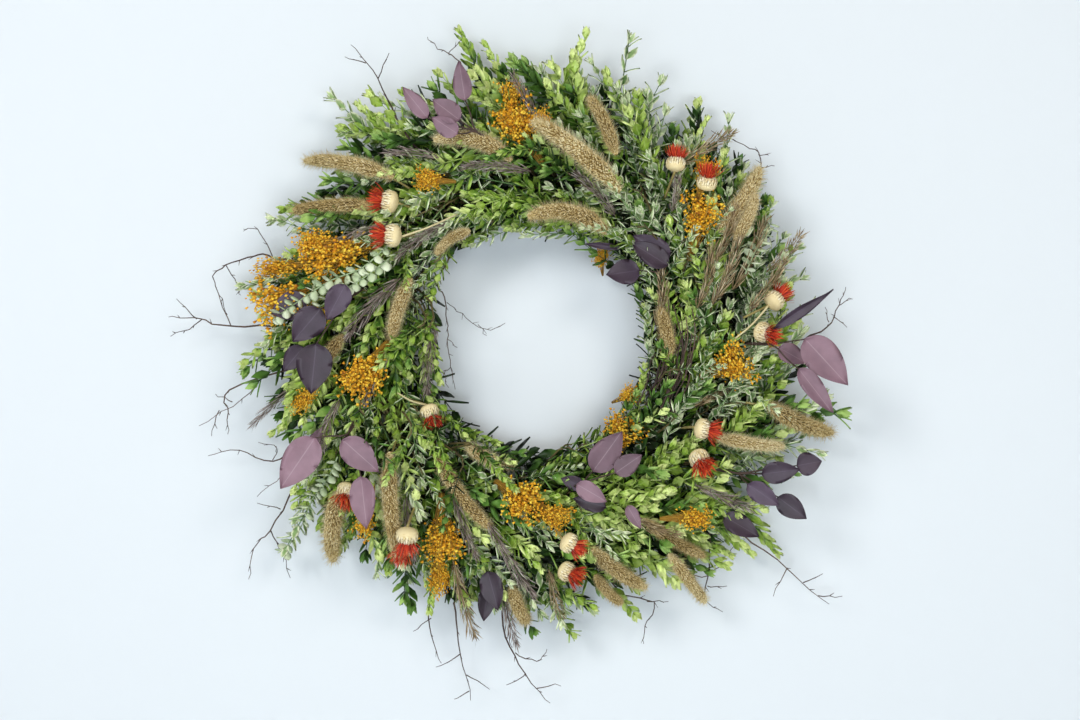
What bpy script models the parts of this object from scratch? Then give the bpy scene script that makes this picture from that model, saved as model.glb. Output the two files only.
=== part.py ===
"""Harvest door wreath: a welded wire frame, ten wired-on bundles of greens and the dried flowers,
seed heads, leaves and twigs set into them, hung by a wire bail that swings on the frame.

The row frame's origin is where a nail bears inside the top of the bail. +Z is up, -Y faces the
room and +Y the door. Lengths are in metres and angles are counter-clockwise from +X, seen from
the room. Everything is laid out from the centre of the frame's rings, in polar form: an angle
and a reach, which is the distance from that centre.
"""

from math import cos, pi, radians, sin, tan

import bmesh
import bpy
from mathutils import Matrix, Vector

# Wire frame: a cupped fourteen-inch frame of two back rings and two front rings
RING_WIRE = 0.0030
BACK_INNER_REACH = 0.140
BACK_OUTER_REACH = 0.165
FRONT_INNER_REACH = 0.127
FRONT_OUTER_REACH = 0.178
FRAME_DEPTH = 0.030
RING_STEPS = 48
BRACE_WIRE = 0.0028
BRACE_ANGLES = (30, 120, 210, 300)
BRACE_OVERHANG = 0.004
BRACE_FLAT = 0.0003
BRACE_BEND_ROOM = 0.0004
WELD_GAP = 0.0003

# Hanging bail
BAIL_WIRE = 0.0016
BAIL_DROP = 0.030
BAIL_HALF_WIDTH = 0.009
BAIL_PLAY = 0.0006

# Binding wire, wound twice round the frame and the stems of each bundle
TIE_WIRE = 0.0010
TIE_TURNS = 2
TIE_TURN_ANGLE = 3.0
TIE_LEAD_ANGLE = 6.0
TIE_GAP = 0.0006
TIE_SLACK = 0.0004
TIE_RISE = 0.0044
TIE_CHEEK = 0.0025
TIE_SHOULDER = 0.0050

# Bundles of greens
BUNDLES = 10
FIRST_BUNDLE_ANGLE = 15.0
PITCH = 360.0 / BUNDLES
BUNDLE_GAP_ANGLE = 1.0
LEAN = 28.0
STEM_HALF_WIDTH = 0.013
STEM_BACK_GAP = 0.0030
STEM_TIE_GAP = 0.0010
STEM_ARC = 25.0
NECK_START = 4.0
NECK_END = 9.0
NECK_RISE = 0.018
INNER_REACH = 0.097
OUTER_REACH = 0.276
CROWN_DEPTH = 0.090
DOOR_GAP = 0.014
TUFT_SWING = 0.05
TUFT_PHASE = 1.9
SOCKET_GAP = 0.0010

RING_RADIUS = RING_WIRE / 2
HINGE_DROP = BAIL_DROP
CENTRE_DROP = HINGE_DROP + BACK_OUTER_REACH
TIE_CLEARANCE = RING_RADIUS + TIE_WIRE / 2 + TIE_GAP
TIE_INNER = FRONT_INNER_REACH - TIE_CLEARANCE - TIE_SLACK
TIE_OUTER = FRONT_OUTER_REACH + TIE_CLEARANCE + TIE_SLACK
TIE_BACK = TIE_CLEARANCE
TIE_FRONT = -(FRAME_DEPTH + TIE_CLEARANCE + TIE_RISE)
BRACE_BACK = RING_RADIUS + BRACE_WIRE / 2 + WELD_GAP
BRACE_SIDE = BRACE_BACK + BRACE_BEND_ROOM
CHANNEL_GAP = 0.0030
CHANNEL_SIDE = BRACE_SIDE + BRACE_WIRE / 2 + CHANNEL_GAP
CHANNEL_INNER = min(FRONT_INNER_REACH, BACK_INNER_REACH) - CHANNEL_SIDE
CHANNEL_OUTER = max(FRONT_OUTER_REACH, BACK_OUTER_REACH) + CHANNEL_SIDE
CHANNEL_FRONT = TIE_FRONT - TIE_WIRE / 2 - CHANNEL_GAP
TROUGH_INNER = max(BACK_INNER_REACH, FRONT_INNER_REACH)
TROUGH_OUTER = min(BACK_OUTER_REACH, FRONT_OUTER_REACH)
STEM_REACH = (TROUGH_INNER + TROUGH_OUTER) / 2
STEM_BACK = -(RING_RADIUS + STEM_BACK_GAP)
STEM_FRONT = TIE_FRONT + TIE_WIRE / 2 + STEM_TIE_GAP
STEM_HALF_DEPTH = (STEM_BACK - STEM_FRONT) / 2
CARRY_REACH = max(TIE_OUTER - TIE_SHOULDER, STEM_REACH + STEM_HALF_WIDTH + TIE_CLEARANCE)

# Foliage section: how far each corner lies from the hole's edge to the crown, or from the crown to
# the outer edge, and its share of the crown's depth
CROWN_REACH = 0.168
INNER_SLOPE = ((0.0, 0.29), (0.10, 0.56), (0.44, 0.84), (1.0, 1.0))
OUTER_SLOPE = ((0.44, 0.96), (0.81, 0.73), (1.0, 0.42))
EDGE_ROUND = 0.010
EDGE_THICKNESS = 0.006

# The layout of what is set into the greens is drawn for greens that reach from here to here
DRAWN_INNER_REACH = 0.097
DRAWN_OUTER_REACH = 0.276


def polar(angle, reach, depth=0.0):
    """A point at that angle and reach from the rings' centre; depth is its Y."""
    turn = radians(angle)
    return Vector((reach * cos(turn), depth, reach * sin(turn)))


def laid_out(reach):
    """A reach in the drawn layout, stretched to this wreath's greens."""
    stretch = (OUTER_REACH - INNER_REACH) / (DRAWN_OUTER_REACH - DRAWN_INNER_REACH)
    return INNER_REACH + (reach - DRAWN_INNER_REACH) * stretch


def crown_line():
    """Reach and depth of the foliage's front surface, from the hole to the outer edge."""
    inner = [(INNER_REACH + (CROWN_REACH - INNER_REACH) * way, deep) for way, deep in INNER_SLOPE]
    outer = [(CROWN_REACH + (OUTER_REACH - CROWN_REACH) * way, deep) for way, deep in OUTER_SLOPE]
    return [(reach, -CROWN_DEPTH * deep) for reach, deep in inner + outer]


def crown(reach):
    """Depth of the foliage's front surface at that reach, where its tufts swell the most."""
    line = crown_line()
    if reach > CROWN_REACH:
        reach = max(CROWN_REACH, reach / (1 + TUFT_SWING))
    if reach <= line[0][0]:
        return line[0][1]
    for (near, near_depth), (far, far_depth) in zip(line, line[1:]):
        if reach <= far:
            return near_depth + (far_depth - near_depth) * (reach - near) / (far - near)
    return line[-1][1]


def clear_scene():
    for obj in list(bpy.data.objects):
        bpy.data.objects.remove(obj)


def material(name, colour, roughness, metallic=0.0):
    made = bpy.data.materials.new(name)
    made.use_nodes = True
    shader = made.node_tree.nodes["Principled BSDF"]
    shader.inputs["Base Color"].default_value = (*colour, 1.0)
    shader.inputs["Roughness"].default_value = roughness
    shader.inputs["Metallic"].default_value = metallic
    return made


def add_object(name, bm, finish, parent, smooth_below=60):
    """Turns the bmesh into a named object under parent, and frees it."""
    bmesh.ops.recalc_face_normals(bm, faces=bm.faces)
    mesh = bpy.data.meshes.new(name)
    bm.to_mesh(mesh)
    bm.free()
    mesh.materials.append(finish)
    mesh.shade_smooth()
    mesh.set_sharp_from_angle(angle=radians(smooth_below))
    obj = bpy.data.objects.new(name, mesh)
    bpy.context.scene.collection.objects.link(obj)
    obj.parent = parent
    return obj


def add_helper(name, bm, finish, parent):
    """A cutter or a shape to be joined: it isn't a piece itself."""
    obj = add_object(name, bm, finish, parent)
    obj.hide_render = True
    obj.display_type = "WIRE"
    return obj


def add_boolean(obj, other, operation):
    modifier = obj.modifiers.new(f"{operation.lower()} {other.name}", "BOOLEAN")
    modifier.operation = operation
    modifier.object = other


def frames_along(points, closed=False):
    """A matrix at each point whose Z axis follows the line, turning as little as it can."""
    last = len(points) - 1
    side = None
    made = []
    for i, point in enumerate(points):
        before = points[i - 1] if i or closed else points[i]
        after = points[(i + 1) % len(points)] if i < last or closed else points[i]
        along = (after - before).normalized()
        if side is None:
            side = along.orthogonal().normalized()
        side = (side - along * side.dot(along)).normalized()
        rotation = Matrix((side, along.cross(side), along)).transposed()
        made.append(Matrix.Translation(point) @ rotation.to_4x4())
    return made


def circle_edges(bm, frame, radius, sides, capped):
    made = bmesh.ops.create_circle(bm, cap_ends=capped, radius=radius, segments=sides, matrix=frame)
    corners = set(made["verts"])
    return [e for e in bm.edges if e.verts[0] in corners and e.verts[1] in corners]


def sweep(points, radii, sides, bm=None):
    """A closed tube whose radius changes from point to point."""
    bm = bm or bmesh.new()
    previous = None
    for i, frame in enumerate(frames_along(points)):
        ends = i in (0, len(points) - 1)
        edges = circle_edges(bm, frame, radii[i], sides, ends)
        if previous:
            bmesh.ops.bridge_loops(bm, edges=previous + edges)
        previous = edges
    return bm


def bowed(start, end, bow, steps):
    """Points from start to end along a parabola that rises by the vector bow half way."""
    shares = [i / steps for i in range(steps + 1)]
    return [start.lerp(end, t) + bow * (4 * t * (1 - t)) for t in shares]


# Frame ---------------------------------------------------------------------------------------


def add_ring(name, reach, depth, finish, centre):
    """One hoop of frame wire, spun about the wreath's axis, with a flat facing the door."""
    sides = 6
    bm = bmesh.new()
    facing = Matrix.Rotation(radians(90), 4, "Z") @ Matrix.Rotation(pi / sides, 4, "Z")
    start = Matrix.Translation((reach, depth, 0)) @ facing
    profile = bmesh.ops.create_circle(bm, radius=RING_RADIUS, segments=sides, matrix=start)
    corners = profile["verts"]
    edges = list({e for v in corners for e in v.link_edges})
    bmesh.ops.spin(
        bm,
        geom=corners + edges,
        axis=(0, 1, 0),
        cent=(0, 0, 0),
        angle=2 * pi,
        steps=RING_STEPS,
        use_merge=True,
    )
    return add_object(name, bm, finish, centre)


def add_brace(name, angle, finish, centre):
    """A cross wire bent round the outside of all four rings."""
    lip = -(FRAME_DEPTH + BRACE_OVERHANG)
    knee = -(FRAME_DEPTH - 2 * BRACE_OVERHANG)
    inner = FRONT_INNER_REACH - BRACE_SIDE
    outer = FRONT_OUTER_REACH + BRACE_SIDE
    foot = 2 * BRACE_OVERHANG
    line = (
        (inner, lip),
        (inner, knee),
        (BACK_INNER_REACH - foot, BRACE_BACK),
        (BACK_OUTER_REACH + foot, BRACE_BACK),
        (outer, knee),
        (outer, lip),
    )
    points = [polar(angle, reach, depth) for reach, depth in line]
    facing = BRACE_WIRE / 2 / cos(pi / 8)
    bm = sweep(points, [facing] * len(points), 8)
    flatten_back(bm, BRACE_BACK + BRACE_WIRE / 2)
    return add_object(name, bm, finish, centre)


def flatten_back(bm, depth):
    """Shaves the wire's door side to a flat, as the press that welds it leaves it."""
    cut = bmesh.ops.bisect_plane(
        bm,
        geom=bm.verts[:] + bm.edges[:] + bm.faces[:],
        plane_co=(0, depth - BRACE_FLAT, 0),
        plane_no=(0, 1, 0),
        clear_outer=True,
    )
    rim = [e for e in cut["geom_cut"] if isinstance(e, bmesh.types.BMEdge)]
    bmesh.ops.holes_fill(bm, edges=rim)


# Bail ----------------------------------------------------------------------------------------


def add_bail(finish, hinge):
    """A wire bail: an eyelet round the back outer ring on each leg and a round top for a nail."""
    grip = RING_RADIUS + BAIL_PLAY + BAIL_WIRE / 2
    spread = BAIL_WIRE + BAIL_PLAY
    top = BAIL_DROP - BAIL_HALF_WIDTH + BAIL_WIRE / 2
    ring_slope = tan(pi / RING_STEPS)
    turns = 11
    leg = []
    for i in range(turns + 1):
        turn = radians(400 - 310 * i / turns)
        out = BAIL_HALF_WIDTH + spread * (1 - i / turns)
        drop = out * ring_slope
        leg.append(Vector((-out, grip * sin(turn), grip * cos(turn) - drop)))
    leg.append(Vector((-BAIL_HALF_WIDTH, grip * 0.8, grip)))
    leg.append(Vector((-BAIL_HALF_WIDTH, 0, grip * 2.6)))
    arch_steps = 10
    arch = []
    for i in range(arch_steps + 1):
        turn = pi - pi * i / arch_steps
        arch.append(Vector((BAIL_HALF_WIDTH * cos(turn), 0, top + BAIL_HALF_WIDTH * sin(turn))))
    mirrored = [Vector((-p.x, p.y, p.z)) for p in reversed(leg)]
    points = leg + arch + mirrored
    bm = sweep(points, [BAIL_WIRE / 2] * len(points), 6)
    return add_object("hanger_bail", bm, finish, hinge)


# Binding wire --------------------------------------------------------------------------------


def add_binding_wire(finish, centre):
    """One wire, wound round each bundle's stems in turn and carried along the front between them."""
    back_inner = BACK_INNER_REACH - TIE_CLEARANCE
    back_outer = BACK_OUTER_REACH + TIE_CLEARANCE
    loop = (  # reach and depth of each corner of one turn, from the carry round the outer edge
        (CARRY_REACH, TIE_FRONT),
        (TIE_OUTER, -FRAME_DEPTH - TIE_CHEEK),
        (TIE_OUTER, -FRAME_DEPTH + TIE_CHEEK),
        (back_outer, -TIE_CHEEK),
        (back_outer, TIE_BACK),
        (back_inner, TIE_BACK),
        (back_inner, -TIE_CHEEK),
        (TIE_INNER, -FRAME_DEPTH + TIE_CHEEK),
        (TIE_INNER, -FRAME_DEPTH - TIE_CHEEK),
        (TIE_INNER + TIE_SHOULDER, TIE_FRONT),
    )
    carry_steps = 4
    points = []
    for bundle in reversed(range(BUNDLES)):
        start = FIRST_BUNDLE_ANGLE + PITCH * bundle - TIE_LEAD_ANGLE
        for corner in range(TIE_TURNS * len(loop)):
            reach, depth = loop[corner % len(loop)]
            points.append(polar(start - TIE_TURN_ANGLE * corner / len(loop), reach, depth))
        carried = PITCH - TIE_TURNS * TIE_TURN_ANGLE
        if bundle:
            for i in range(carry_steps):
                angle = start - TIE_TURNS * TIE_TURN_ANGLE - carried * i / carry_steps
                points.append(polar(angle, *loop[0]))
    bm = sweep(points, [TIE_WIRE / 2] * len(points), 4)
    return add_object("binding_wire", bm, finish, centre)


# Greens --------------------------------------------------------------------------------------


def foliage_section():
    """Reach and depth of the corners of a bundle's section, which arches over the frame."""
    underside = [
        (OUTER_REACH - EDGE_ROUND, -DOOR_GAP - EDGE_THICKNESS),
        (CHANNEL_OUTER + (OUTER_REACH - CHANNEL_OUTER) * 0.6, -DOOR_GAP),
        (CHANNEL_OUTER, -DOOR_GAP),
        (CHANNEL_OUTER, CHANNEL_FRONT),
        (CHANNEL_INNER, CHANNEL_FRONT),
        (CHANNEL_INNER, -DOOR_GAP),
        (INNER_REACH + EDGE_THICKNESS, -DOOR_GAP),
    ]
    return crown_line() + underside


def foliage_body(angle, bundle):
    """The bundle's leafy part: its section extruded straight, then bent round into a leaning vane."""
    steps = 6
    bm = bmesh.new()
    face = bm.faces.new([bm.verts.new((0, depth, reach)) for reach, depth in foliage_section()])
    for step in range(steps):
        made = bmesh.ops.extrude_face_region(bm, geom=[face])["geom"]
        if step:
            bmesh.ops.delete(bm, geom=[face], context="FACES_ONLY")
        face = next(part for part in made if isinstance(part, bmesh.types.BMFace))
        bmesh.ops.translate(bm, vec=(1 / steps, 0, 0), verts=face.verts)
    bmesh.ops.triangulate(bm, faces=bm.faces)
    for corner in bm.verts:
        share, depth, reach = corner.co
        outward = max(0.0, (reach - CHANNEL_OUTER) / (OUTER_REACH - CHANNEL_OUTER))
        reach *= 1 + TUFT_SWING * outward * sin(3 * pi * share + TUFT_PHASE * bundle)
        lean = LEAN * (reach - STEM_REACH) / (OUTER_REACH - STEM_REACH)
        corner.co = polar(angle + (PITCH - BUNDLE_GAP_ANGLE) * share + lean, reach, depth)
    return bm


def stem_body(angle):
    """The bundle's cut stems, lying in the frame's channel and rising into the leafy part."""
    rise_steps = 3
    lie_steps = 4
    depth = STEM_BACK - STEM_HALF_DEPTH
    line = []
    for i in range(lie_steps):
        share = i / (lie_steps - 1)
        line.append((angle - STEM_ARC + (STEM_ARC + NECK_START) * share, depth, 1.0))
    for i in range(1, rise_steps + 1):
        share = i / rise_steps
        turn = angle + NECK_START + (NECK_END - NECK_START) * share
        line.append((turn, depth + (CHANNEL_FRONT - NECK_RISE - depth) * share, 1 - 0.3 * share))
    bm = bmesh.new()
    previous = None
    for i, (turn, y, scale) in enumerate(line):
        square = Matrix.Diagonal((STEM_HALF_WIDTH * scale, STEM_HALF_DEPTH * scale, 1, 1))
        facing = Matrix.Rotation(radians(-turn), 4, "Y")
        frame = Matrix.Translation(polar(turn, STEM_REACH, y)) @ facing @ square
        edges = circle_edges(bm, frame, 1.0, 8, i in (0, len(line) - 1))
        if previous:
            bmesh.ops.bridge_loops(bm, edges=previous + edges)
        previous = edges
    return bm


def add_bundle(bundle, finish, centre):
    angle = FIRST_BUNDLE_ANGLE + PITCH * bundle
    name = f"greens_bundle_{bundle + 1:02d}"
    obj = add_object(name, foliage_body(angle, bundle), finish, centre)
    stems = add_helper(f"stems_of_{name}", stem_body(angle), finish, centre)
    add_boolean(obj, stems, "UNION")
    return obj


# Dried flowers, seed heads, leaves and twigs -----------------------------------------------------

FOXTAIL_WIDTH = 0.0180
BULB_WIDTH = 0.0230
BLOOM_WIDTH = 0.0360
LEAF_THICKNESS = 0.0014
BLADE_SPACING = 0.0045
TWIG_WIDTH = 0.0030
STALK_WIDTH = 0.0030
STALK_DEPTH = 0.022
SPRIG_LIFT = 0.0050
LAYER = 0.0210
HEAD_RISE = 0.35

# Each: name, angle and reach of its foot, angle and reach of its tip, layer above the crown, bow
FOXTAILS = (
    ("foxtail_01", 131, 0.205, 142, 0.285, 0, 0.004),
    ("foxtail_02", 98, 0.172, 117, 0.213, 0, 0.010),
    ("foxtail_03", 61, 0.160, 91, 0.205, 1, 0.004),
    ("foxtail_04", 57, 0.122, 94, 0.118, 1, 0.012),
    ("foxtail_05", 31, 0.200, 38, 0.270, 0, 0.003),
    ("foxtail_06", 352, 0.127, 16, 0.122, 0, 0.002),
    ("foxtail_07", 153, 0.134, 179, 0.137, 0, 0.003),
    ("foxtail_08", 217, 0.170, 238, 0.240, 1, 0.004),
    ("foxtail_09", 229, 0.143, 256, 0.180, 0, 0.004),
    ("foxtail_10", 217, 0.232, 227, 0.290, 0, 0.003),
    ("foxtail_11", 345, 0.225, 343, 0.300, 0, 0.004),
    ("foxtail_12", 285, 0.200, 294, 0.255, 0, 0.003),
)
BLOOMS = (
    ("gold_bloom_01", 146, 0.175, 162, 0.232, 0),
    ("gold_bloom_02", 164, 0.205, 174, 0.272, 0),
    ("gold_bloom_03", 90, 0.178, 98, 0.228, 0),
    ("gold_bloom_04", 31, 0.172, 41, 0.212, 0),
    ("gold_bloom_05", 350, 0.165, 356, 0.200, 0),
    ("gold_bloom_06", 305, 0.120, 322, 0.115, 0),
    ("gold_bloom_07", 257, 0.135, 270, 0.155, 1),
    ("gold_bloom_08", 240, 0.180, 247, 0.225, 0),
    ("gold_bloom_09", 183, 0.140, 196, 0.178, 1),
)
SAFFLOWERS = (
    ("safflower_01", 134, 0.180, 139, 0.205, 0),
    ("safflower_02", 140, 0.150, 150, 0.205, 1),
    ("safflower_03", 50, 0.198, 55, 0.228, 1),
    ("safflower_04", 8, 0.215, 13, 0.250, 0),
    ("safflower_05", 331, 0.160, 334, 0.195, 1),
    ("safflower_06", 207, 0.120, 223, 0.128, 0),
    ("safflower_07", 234, 0.200, 240, 0.240, 2),
    ("safflower_08", 276, 0.178, 283, 0.198, 2),
)


def lifted(angle, drawn, lift):
    """The point of the layout at that angle and reach, that far in front of the foliage."""
    reach = laid_out(drawn)
    return polar(angle, reach, crown(reach) - lift)


def stalk_root(angle, drawn):
    """Where a stalk that enters the foliage at that place ends, on its way to the stems."""
    entry = lifted(angle, drawn, 0)
    heart = polar(angle - 6, STEM_REACH, CHANNEL_FRONT)
    return entry + (heart - entry).normalized() * STALK_DEPTH


def add_set_piece(name, points, radii, sides, finish, centre, cutters):
    """A turned or grown piece with its stalk, and the socket that the foliage gives it."""
    bm = sweep(points, radii, sides)
    bmesh.ops.triangulate(bm, faces=bm.faces)
    bmesh.ops.recalc_face_normals(bm, faces=bm.faces)
    bm.normal_update()
    socket = bm.copy()
    pushes = [corner.normal * SOCKET_GAP for corner in socket.verts]
    for corner, push in zip(socket.verts, pushes):
        corner.co += push
    piece = add_object(name, bm, finish, centre)
    cutters.append(add_helper(f"socket_of_{name}", socket, finish, centre))
    return piece


def add_headed(name, foot, tip, layer, bow, profile, width, sides, finish, centre, cutters):
    """A stalk that rises from the foliage and a head along it; profile is share of way and of width."""
    girth = width / 2
    base = lifted(*foot, LAYER * layer)
    end = lifted(*tip, girth * HEAD_RISE + LAYER * layer)
    sideways = (end - base).cross(Vector((0, 1, 0))).normalized()
    middle = (base + end) / 2
    reach = Vector((middle.x, middle.z)).length
    sag = max(0.0, middle.y - (crown(reach) - girth * HEAD_RISE - LAYER * layer))
    steps = len(profile) - 1
    line = bowed(base, end, -sideways * bow + Vector((0, -sag, 0)), steps)
    points = [stalk_root(*foot)] + [p for p in line]
    radii = [STALK_WIDTH / 2] + [max(STALK_WIDTH / 2, girth * share) for share in profile]
    return add_set_piece(name, points, radii, sides, finish, centre, cutters)


def add_foxtails(finish, centre, cutters):
    profile = (0.30, 0.82, 1.0, 1.0, 0.92, 0.70, 0.25)
    for name, foot, reach, tip, far, layer, bow in FOXTAILS:
        add_headed(
            name, (foot, reach), (tip, far), layer, bow, profile, FOXTAIL_WIDTH, 6, finish, centre, cutters
        )


def add_blooms(finish, centre, cutters):
    profile = (0.12, 0.25, 0.60, 0.95, 1.0, 0.70)
    for name, foot, reach, tip, far, layer in BLOOMS:
        add_headed(
            name, (foot, reach), (tip, far), layer, 0, profile, BLOOM_WIDTH, 8, finish, centre, cutters
        )


def add_safflowers(finish, centre, cutters):
    profile = (0.14, 0.14, 0.80, 1.0, 0.74, 0.80, 0.60)
    for name, foot, reach, tip, far, layer in SAFFLOWERS:
        add_headed(
            name, (foot, reach), (tip, far), layer, 0, profile, BULB_WIDTH, 8, finish, centre, cutters
        )


# Each sprig: name, angle and reach of its foot, layer, then its leaves as angle and reach of the
# leaf's middle, its length and width, and the heading of its tip
SPRIGS = (
    ("eucalyptus_sprig_01", 100, 0.200, 1, (
        (112, 0.225, 0.044, 0.024, 103), (117, 0.248, 0.036, 0.016, 128), (106, 0.250, 0.036, 0.018, 98))),
    ("eucalyptus_sprig_02", 163, 0.180, 1, (
        (176, 0.213, 0.040, 0.030, 230), (169, 0.188, 0.036, 0.024, 235), (187, 0.206, 0.046, 0.034, 265))),
    ("eucalyptus_sprig_03", 203, 0.195, 1, (
        (207, 0.248, 0.056, 0.034, 238), (213, 0.193, 0.044, 0.028, 325), (223, 0.217, 0.048, 0.026, 277))),
    ("eucalyptus_sprig_04", 283, 0.135, 1, (
        (303, 0.121, 0.046, 0.028, 230), (307, 0.141, 0.030, 0.020, 215), (290, 0.148, 0.032, 0.018, 330))),
    ("eucalyptus_sprig_05", 323, 0.205, 0, (
        (332, 0.261, 0.036, 0.022, 8), (336, 0.284, 0.025, 0.023, 10), (326, 0.256, 0.036, 0.020, 325),
        (327, 0.288, 0.034, 0.022, 322))),
    ("eucalyptus_sprig_06", 1, 0.215, 1, (
        (356, 0.270, 0.058, 0.034, 308), (350, 0.262, 0.052, 0.020, 308), (7, 0.247, 0.064, 0.018, 33))),
    ("eucalyptus_sprig_07", 28, 0.135, 0, (
        (39, 0.105, 0.032, 0.026, 190), (38, 0.134, 0.040, 0.022, 148))),
)


def add_sprig(name, foot, reach, layer, leaves, finish, centre, cutters):
    """A twig with a stalk and a flat blade for each leaf, joined into one piece."""
    lift = SPRIG_LIFT + LAYER * layer
    start = lifted(foot, reach, lift)
    root = stalk_root(foot, reach)
    points = [root, start]
    twig = add_set_piece(name, points, [STALK_WIDTH / 2] * 2, 6, finish, centre, cutters)
    for number, (angle, far, length, width, heading) in enumerate(leaves):
        out = laid_out(far)
        highest = min(crown(out - length / 2), crown(out), crown(out + length / 2))
        middle = polar(angle, out, highest - lift - number * BLADE_SPACING)
        outward = Vector((cos(radians(heading)), 0, sin(radians(heading))))
        heel = middle - outward * length * 0.38
        half = start.lerp(heel, 0.5)
        half.y = min(half.y, crown(Vector((half.x, half.z)).length) - lift)
        rib = [root.lerp(start, 0.93), half, heel]
        stalk = add_helper(f"stalk_{number}_of_{name}", sweep(rib, [0.0012] * 4, 5), finish, centre)
        add_boolean(twig, stalk, "UNION")
        blade = blade_body(middle, heading, length, width)
        blade_helper = add_helper(f"blade_{number}_of_{name}", blade, finish, centre)
        add_boolean(twig, blade_helper, "UNION")
    return twig


def blade_body(middle, heading, length, width):
    """An oval leaf blade with a pointed tip, lying in the wreath's plane."""
    bm = bmesh.new()
    bmesh.ops.create_circle(bm, cap_ends=True, radius=0.5, segments=10)
    for v in bm.verts:
        if v.co.x > 0.3:
            v.co.y *= 0.75
    facing = Matrix.Rotation(radians(-heading), 4, "Y") @ Matrix.Rotation(radians(90), 4, "X")
    shape = Matrix.Diagonal((length, width, 1, 1))
    lift = Matrix.Translation(middle + Vector((0, LEAF_THICKNESS / 2, 0)))
    bmesh.ops.transform(bm, matrix=lift @ facing @ shape, verts=bm.verts)
    face = bm.faces[:]
    made = bmesh.ops.extrude_face_region(bm, geom=face)
    moved = [v for v in made["geom"] if isinstance(v, bmesh.types.BMVert)]
    bmesh.ops.translate(bm, vec=(0, -LEAF_THICKNESS, 0), verts=moved)
    return bm


# Each twig: name, foot, then the corners of its main shoot, each an angle, a reach and a depth, and
# its side shoots, each the corner it springs from and the corners it goes through
TWIGS = (
    ("birch_twig_01", (122, 0.225), ((122, 0.262, -0.046), (121, 0.300, -0.040), (122, 0.345, -0.030)),
     ((1, ((117, 0.318, -0.034),)),)),
    ("birch_twig_02", (176, 0.248), ((177, 0.300, -0.030), (176, 0.335, -0.026), (176, 0.366, -0.020)),
     ((1, ((173, 0.360, -0.020),)), (0, ((170, 0.322, -0.026),)))),
    ("birch_twig_03", (262, 0.250), ((264, 0.290, -0.030), (268, 0.325, -0.026), (272, 0.357, -0.022)),
     ((1, ((265, 0.340, -0.020),)),)),
    ("birch_twig_04", (317, 0.235), ((317, 0.275, -0.034), (318, 0.330, -0.030), (318, 0.385, -0.022)),
     ((1, ((313, 0.340, -0.026),)),)),
)


def laid_corner(corner):
    angle, drawn, depth = corner
    return polar(angle, laid_out(drawn), depth)


def add_twig(name, foot, corners, shoots, finish, centre, cutters):
    """A bare twig with its side shoots."""
    angle, reach = foot
    entry = polar(angle, laid_out(reach), corners[0][2])
    heart = polar(angle - 6, STEM_REACH, CHANNEL_FRONT)
    root = entry + (heart - entry).normalized() * STALK_DEPTH
    line = [root, entry] + [laid_corner(corner) for corner in corners]
    radii = [TWIG_WIDTH / 2] * (len(line) - 1) + [TWIG_WIDTH / 4]
    twig = add_set_piece(name, line, radii, 5, finish, centre, cutters)
    for number, (origin, shoot) in enumerate(shoots):
        path = [laid_corner(corners[origin])] + [laid_corner(corner) for corner in shoot]
        body = sweep(path, [TWIG_WIDTH / 3] * len(path), 5)
        add_boolean(twig, add_helper(f"shoot_{number}_of_{name}", body, finish, centre), "UNION")
    return twig


# Assembly ------------------------------------------------------------------------------------


def box_of(obj):
    corners = [obj.matrix_world @ Vector(c) for c in obj.bound_box]
    low = Vector([min(c[i] for c in corners) for i in range(3)])
    high = Vector([max(c[i] for c in corners) for i in range(3)])
    return low, high


def boxes_meet(first, second):
    return all(first[0][i] < second[1][i] and second[0][i] < first[1][i] for i in range(3))


def cut_sockets(bundles, cutters):
    """Each bundle is hollowed for what is set into it."""
    bpy.context.view_layer.update()
    for bundle in bundles:
        for cutter in cutters:
            if boxes_meet(box_of(bundle), box_of(cutter)):
                add_boolean(bundle, cutter, "DIFFERENCE")


def build():
    clear_scene()
    steel = material("galvanised_wire", (0.36, 0.38, 0.38), 0.4, 0.9)
    tie = material("green_binding_wire", (0.05, 0.12, 0.06), 0.45, 0.3)
    leaf = material("preserved_greens", (0.20, 0.32, 0.11), 0.75)
    seed = material("foxtail_millet", (0.55, 0.43, 0.24), 0.9)
    gold = material("gold_bloom", (0.80, 0.47, 0.04), 0.85)
    bulb = material("safflower", (0.86, 0.72, 0.45), 0.8)
    plum = material("plum_eucalyptus", (0.28, 0.16, 0.22), 0.6)
    bark = material("birch_bark", (0.16, 0.12, 0.11), 0.85)

    hinge = bpy.data.objects.new("bail_hinge", None)
    hinge.location = (0, 0, -HINGE_DROP)
    centre = bpy.data.objects.new("ring_centre", None)
    centre.location = (0, 0, -CENTRE_DROP)
    for empty in (hinge, centre):
        bpy.context.scene.collection.objects.link(empty)

    add_ring("frame_ring_back_inner", BACK_INNER_REACH, 0, steel, centre)
    add_ring("frame_ring_back_outer", BACK_OUTER_REACH, 0, steel, centre)
    add_ring("frame_ring_front_inner", FRONT_INNER_REACH, -FRAME_DEPTH, steel, centre)
    add_ring("frame_ring_front_outer", FRONT_OUTER_REACH, -FRAME_DEPTH, steel, centre)
    for number, angle in enumerate(BRACE_ANGLES):
        add_brace(f"frame_brace_{number + 1}", angle, steel, centre)
    add_bail(steel, hinge)
    add_binding_wire(tie, centre)

    cutters = []
    add_foxtails(seed, centre, cutters)
    add_blooms(gold, centre, cutters)
    add_safflowers(bulb, centre, cutters)
    for name, foot, reach, layer, leaves in SPRIGS:
        add_sprig(name, foot, reach, layer, leaves, plum, centre, cutters)
    for name, foot, corners, shoots in TWIGS:
        add_twig(name, foot, corners, shoots, bark, centre, cutters)
    bundles = [add_bundle(bundle, leaf, centre) for bundle in range(BUNDLES)]
    cut_sockets(bundles, cutters)


build()
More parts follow.
